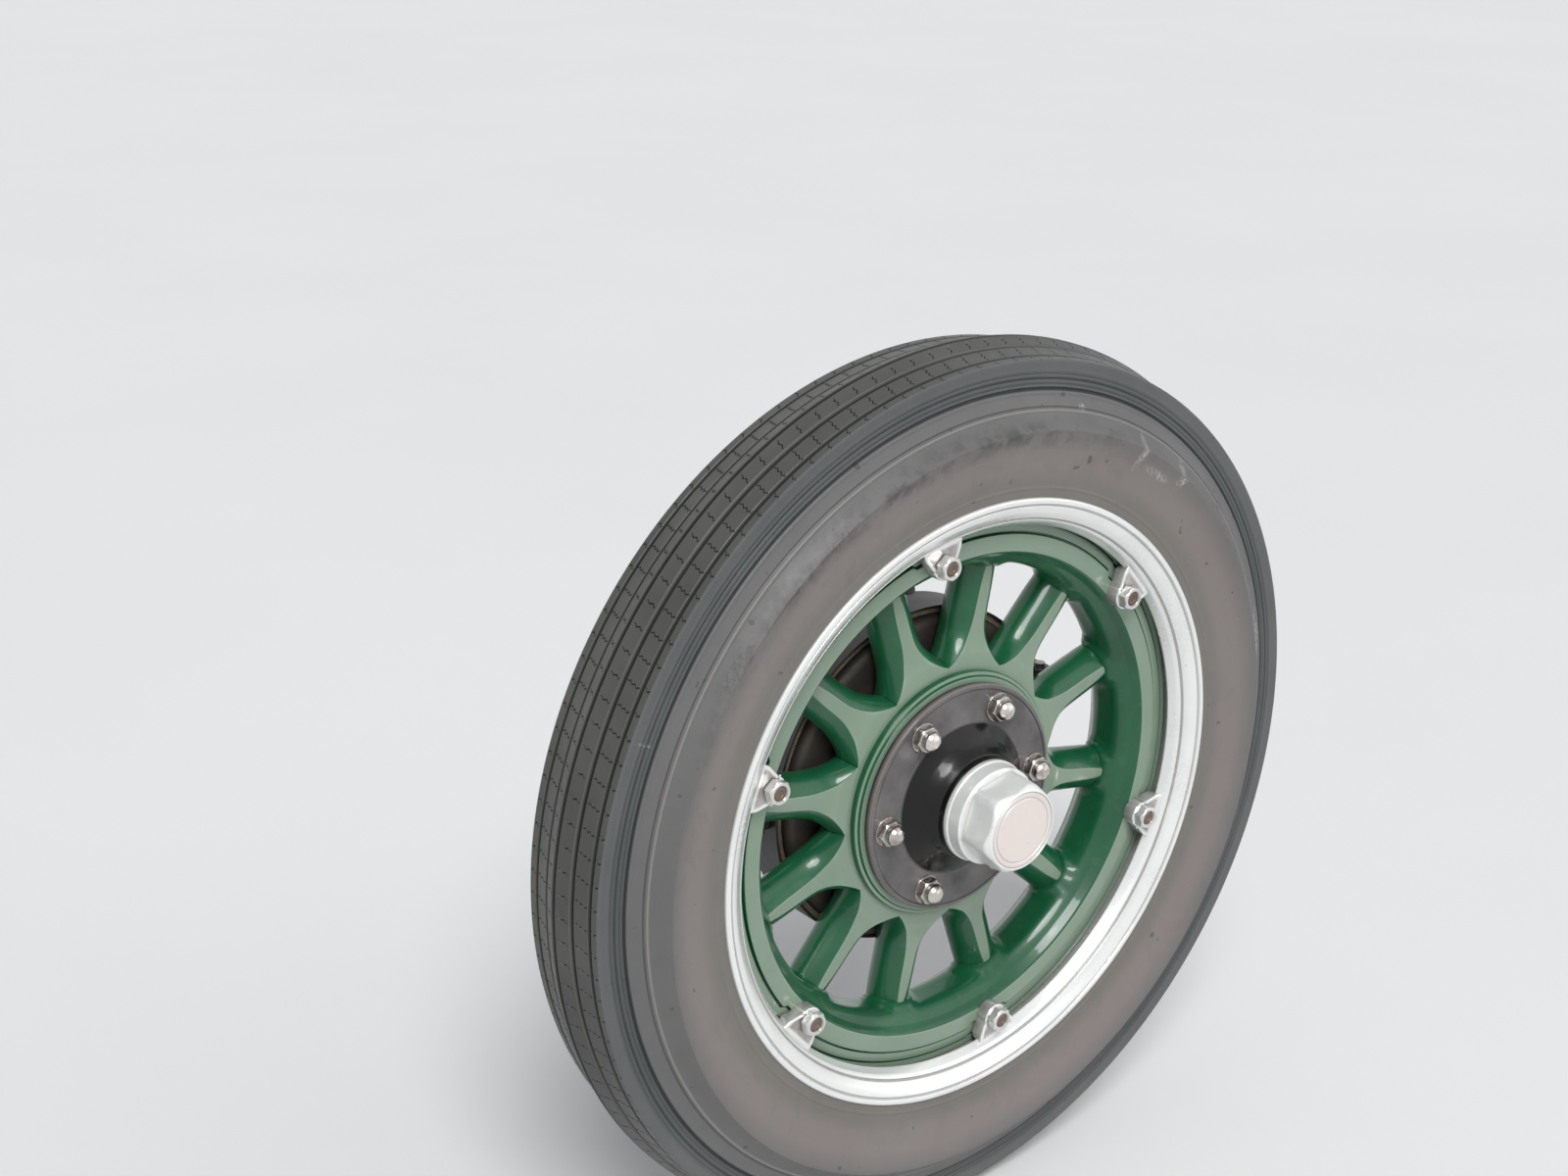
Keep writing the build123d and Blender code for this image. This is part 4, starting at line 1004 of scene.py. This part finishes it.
def lugForm():
    # The outline runs round the foot and the round end. The side rises to the face over a rounded edge,
    # each ring a little further inside the outline, and the underside follows the rim's lip.
    u = lug
    foot, waist = u["footHalf"], u["footRadius"] - u["footStep"]
    corners = [(-foot, u["footRadius"], 1.8), (-foot + u["taper"], waist, 4),
               (-u["endRadius"], u["circle"] - 1, 6)]
    left = softened(np.array(corners + [(-u["endRadius"], u["circle"] - 6, 0)]), arcSteps=6)
    arc = np.linspace(math.pi, 2 * math.pi, 26)
    end = np.stack([u["endRadius"] * np.cos(arc), u["circle"] + u["endRadius"] * np.sin(arc)], -1)
    outline = np.vstack([left[:-1], end, left[:-1][::-1] * (-1, 1)])
    outline = np.vstack([outline[:1] + (8, 0.35), outline[::1], outline[-1:] - (8, -0.35)])
    outline = evenly(np.vstack([outline, outline[:1]]), 2.5)[:-1]
    tangent = np.roll(outline, -1, 0) - np.roll(outline, 1, 0)
    tangent /= np.linalg.norm(tangent, axis=1)[:, None]
    inwards = np.stack([-tangent[:, 1], tangent[:, 0]], -1)
    centre = np.array([0, u["circle"] + 4])
    inwards *= np.sign(np.einsum("ij,ij->i", inwards, centre - outline)).mean()
    face = rimFront / mm + u["face"]
    seat = np.interp(outline[:, 1], [252.5, 254.7, 256.6], [27.0, 20.0, 16.4]) + rimFront / mm
    turn = np.linspace(0, math.pi / 2, 6)
    rings = [(0.0, seat)] + [(u["edge"] * (1 - math.cos(a)),
                              face + u["edge"] * (1 - math.sin(a))) for a in turn]
    rings = [(outline + inwards * inset, y) for inset, y in rings]
    # inside its raised border the face is a little hollow, and that is where the dirt lies
    top = rings[-1][0]
    for share, y in ((u["border"], face), (u["hollowShare"], face + u["hollow"])):
        rings.append((centre + (top - centre) * share, y))
    rows = [np.stack([flat[:, 0], y + 0 * flat[:, 0], flat[:, 1]], -1) for flat, y in rings]
    points = np.array(rows) * mm
    shadeAndDirt = np.array([0.45] + [0.22, 0.1, 0.05, 0.02, 0.0, 0.0, 0.0, 0.25])[:, None]
    dirty = np.array([0.8] + [0.6, 0.4, 0.2, 0.1, 0.0, 0.0, 0.2, 1.0])[:, None]
    return gridForm(points, False, [0, (face + 8) * mm, centre[1] * mm],
                    [0, (face + u["hollow"]) * mm, centre[1] * mm],
                    soiled=shadeAndDirt, dirty=dirty)


def lugNutForm():
    # Hexagon with a chamfered outer edge, open in the middle for the stud
    u = lug
    corner = u["nutFlats"] / math.sqrt(3)
    hole = u["studRadius"] + 0.15
    envelope = softened([(hole, 0, 0.2), (corner, 0, 0.3), (corner, u["nutHigh"] - 1.9, 1.5),
                         (9.3, u["nutHigh"], 0.6),
                         (hole + 1.1, u["nutHigh"], 0.5), (hole, u["nutHigh"] - 1.1, 0.3)], looped=True)
    closed = evenly(np.vstack([envelope, envelope[:1]]), 1.2)[:-1]
    turn = np.linspace(0, 2 * math.pi, 72, endpoint=False)[None, :]
    hexagon = softMin(hexRadius(turn, u["nutFlats"]), closed[:, :1] + 0 * turn, 0.5)
    r = np.where(closed[:, :1] > 7.5, hexagon, closed[:, :1])
    face = rimFront + u["face"] * mm
    points = np.stack([r * np.cos(turn) * mm, face - (closed[:, 1:] + 0 * turn) * mm,
                       r * np.sin(turn) * mm + u["circle"] * mm], -1)
    # painted shade in the stud's hole and at the nut's foot on the lug
    inside = np.where(closed[:, :1] < 7.5, 0.5, 0.05) + 0.5 * np.exp(-(closed[:, 1:] / 1.2) ** 2)
    return gridForm(points, True, soiled=inside, dirty=0.55)


def studForm():
    # Stud end inside the nut: a slight dome, a thread's first turn as a ring, and the shank down to its head
    u = lug
    tip = u["nutHigh"] - u["studRecess"]
    profile = softened([(u["studRadius"] - 0.4, -16, 0), (u["studRadius"] - 0.4, tip - 1.6, 0.3),
                        (u["studRadius"], tip - 1.3, 0.3),
                        (u["studRadius"] - 0.3, tip - 0.4, 0.3), (u["studRadius"] - 1.3, tip, 0.3),
                        (3.1, tip, 0.2), (2.7, tip - 0.7, 0.2), (1.0, tip - 0.9, 0)])
    turn = np.linspace(0, 2 * math.pi, 40, endpoint=False)[None, :]
    face = rimFront + u["face"] * mm
    r, high = profile[:, :1] * mm, profile[:, 1:] * mm
    points = np.stack([r * np.cos(turn), face - high + 0 * turn, r * np.sin(turn) + u["circle"] * mm], -1)
    ends = [[0, face + 16 * mm, u["circle"] * mm], [0, face - (tip - 0.9) * mm, u["circle"] * mm]]
    return gridForm(points, False, *ends)


makePiece("rimLugs", roundTheAxle(lugForm(), lugAngles), paint["silver"], "wheel", ["rim_lugs"],
          40)
makePiece("lugNuts", roundTheAxle(lugNutForm(), lugAngles), paint["silver"], "wheel", ["lug_nuts"],
          30)
makePiece("lugStuds", roundTheAxle(studForm(), lugAngles), paint["stud"], "wheel", ["lug_studs"],
          40)
print("lugs made")


# brake spring
spring = {"wire": 1.5, "coil": 6.9, "turns": 9, "columns": 12}


def springForm():
    # A wire carried along a helix on the screw's own line, with its end turns closed up
    low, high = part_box("brake_spring")
    middle = (low + high) / 2
    s = spring
    u = np.linspace(0, 1, s["turns"] * 40)
    turn = u * s["turns"] * 2 * math.pi
    ease = u - 0.055 * np.sin(2 * math.pi * u)
    wire = s["wire"] * mm
    z = low.z + wire + (high.z - low.z - 2 * wire) * ease
    coil = s["coil"] * mm
    path = np.stack([middle.x + coil * np.cos(turn), middle.y + coil * np.sin(turn), z], -1)
    forward = np.gradient(path, axis=0)
    forward /= np.linalg.norm(forward, axis=1)[:, None]
    out = np.stack([np.cos(turn), np.sin(turn), 0 * turn], -1)
    across = np.cross(forward, out)
    v = np.linspace(0, 2 * math.pi, s["columns"], endpoint=False)[None, :, None]
    points = path[:, None, :] + wire * (np.cos(v) * out[:, None, :] + np.sin(v) * across[:, None, :])
    return gridForm(points, False, path[0], path[-1])


makePiece("brakeSpring", springForm(), paint["steel"], "axle", ["brake_spring"], 60)


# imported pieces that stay, in their own finish
kept = {
    "black": ("hub_flange",),
    "steel": ("hub_bolts", "axle_shaft", "wheel_bearing", "brake_screw"),
    "iron": ("brake_drum",),
    "chassis": ("axle_housing", "brake_anchor", "brake_band", "brake_lever", "spring_seat"),
    "lining": ("brake_lining",),
}
for finish, names in kept.items():
    for name in names:
        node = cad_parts[name]
        if not node.material_slots:
            node.data.materials.append(paint[finish])
        for place in node.material_slots:
            place.material = paint[finish]
print("packed pieces painted")


# floor, lamps, camera
studio = {
    "floorHalf": 60.0,
    "floorColour": (0.90, 0.905, 0.91),
    "floorCloud": (0.84, 0.85, 0.86),
    "background": (0.83, 0.84, 0.85),
    "ambient": 0.44,
    # name, the direction that it shines from, strength, width of its disc in degrees
    "suns": (("keySun", (-0.45, -0.75, 1.0), 1.8, 25), ("fillSun", (0.8, -0.9, 0.5), 0.45, 60)),
    # name, place, aimed at, width, height, power
    "lamps": (("sparkLamp", (-0.9, -1.6, 2.4), (0, -0.3, 0), 0.6, 0.6, 7),),
}


def stageFloor():
    corners = np.array([(-1, -1), (1, -1), (1, 1), (-1, 1)]) * studio["floorHalf"]
    mesh = bpy.data.meshes.new("studioFloor")
    mesh.from_pydata([(x, y, floorHeight - 0.0002) for x, y in corners], [], [(0, 1, 2, 3)])
    s = Shader("studioFloor")
    cloud = s.noise(1.3, 3, 0.5)
    s.finish(Base_Color=s.mix(s.span(cloud, 0.3, 0.7, 0.0, 0.4), studio["floorColour"], studio["floorCloud"]),
             Roughness=0.8, IOR=1.3)
    mesh.materials.append(s.material)
    floor = bpy.data.objects.new("studioFloor", mesh)
    bpy.context.scene.collection.objects.link(floor)


def lightWorld():
    # Even ambient light; the camera and glossy surfaces see a pale background
    world = bpy.data.worlds.new("studioWorld")
    world.use_nodes = True
    tree = world.node_tree
    tree.nodes.clear()
    rays = tree.nodes.new("ShaderNodeLightPath")
    seen = tree.nodes.new("ShaderNodeMath")
    seen.operation = "ADD"
    seen.use_clamp = True
    also = tree.nodes.new("ShaderNodeMath")
    also.operation = "ADD"
    tree.links.new(rays.outputs["Is Camera Ray"], also.inputs[0])
    tree.links.new(rays.outputs["Is Glossy Ray"], also.inputs[1])
    tree.links.new(also.outputs[0], seen.inputs[0])
    tree.links.new(rays.outputs["Is Transmission Ray"], seen.inputs[1])
    strength = tree.nodes.new("ShaderNodeMapRange")
    strength.inputs["To Min"].default_value = studio["ambient"]
    strength.inputs["To Max"].default_value = 1.0
    tree.links.new(seen.outputs[0], strength.inputs["Value"])
    background = tree.nodes.new("ShaderNodeBackground")
    background.inputs["Color"].default_value = (*studio["background"], 1)
    tree.links.new(strength.outputs[0], background.inputs["Strength"])
    output = tree.nodes.new("ShaderNodeOutputWorld")
    tree.links.new(background.outputs[0], output.inputs["Surface"])
    bpy.context.scene.world = world


def hang(data, place, aim):
    lamp = bpy.data.objects.new(data.name, data)
    lamp.location = place
    lamp.rotation_mode = "QUATERNION"
    lamp.rotation_quaternion = (Vector(aim) - Vector(place)).to_track_quat("-Z", "Y")
    bpy.context.scene.collection.objects.link(lamp)


def hangLamps():
    for name, direction, strength, wide in studio["suns"]:
        data = bpy.data.lights.new(name, "SUN")
        data.energy, data.angle = strength, math.radians(wide)
        hang(data, Vector(direction) * 3, (0, 0, 0))
    for name, place, aim, width, height, power in studio["lamps"]:
        data = bpy.data.lights.new(name, "AREA")
        data.shape = "RECTANGLE"
        data.size, data.size_y, data.energy = width, height, power
        hang(data, place, aim)


camera = {
    "place": (-1.3197, -1.6677, 0.9131),
    "turns": (69.191, -1.480, -38.547),
    "lens": 54.30,
    "sensor": 36.0,
}


def setCamera():
    data = bpy.data.cameras.new("photographView")
    data.lens, data.sensor_width = camera["lens"], camera["sensor"]
    view = bpy.data.objects.new("photographView", data)
    view.location = camera["place"]
    view.rotation_euler = Euler([math.radians(a) for a in camera["turns"]], "XYZ")
    bpy.context.scene.collection.objects.link(view)
    bpy.context.scene.camera = view


stageFloor()
lightWorld()
hangLamps()
setCamera()
bpy.context.scene.view_settings.view_transform = "Standard"
print("studio set")
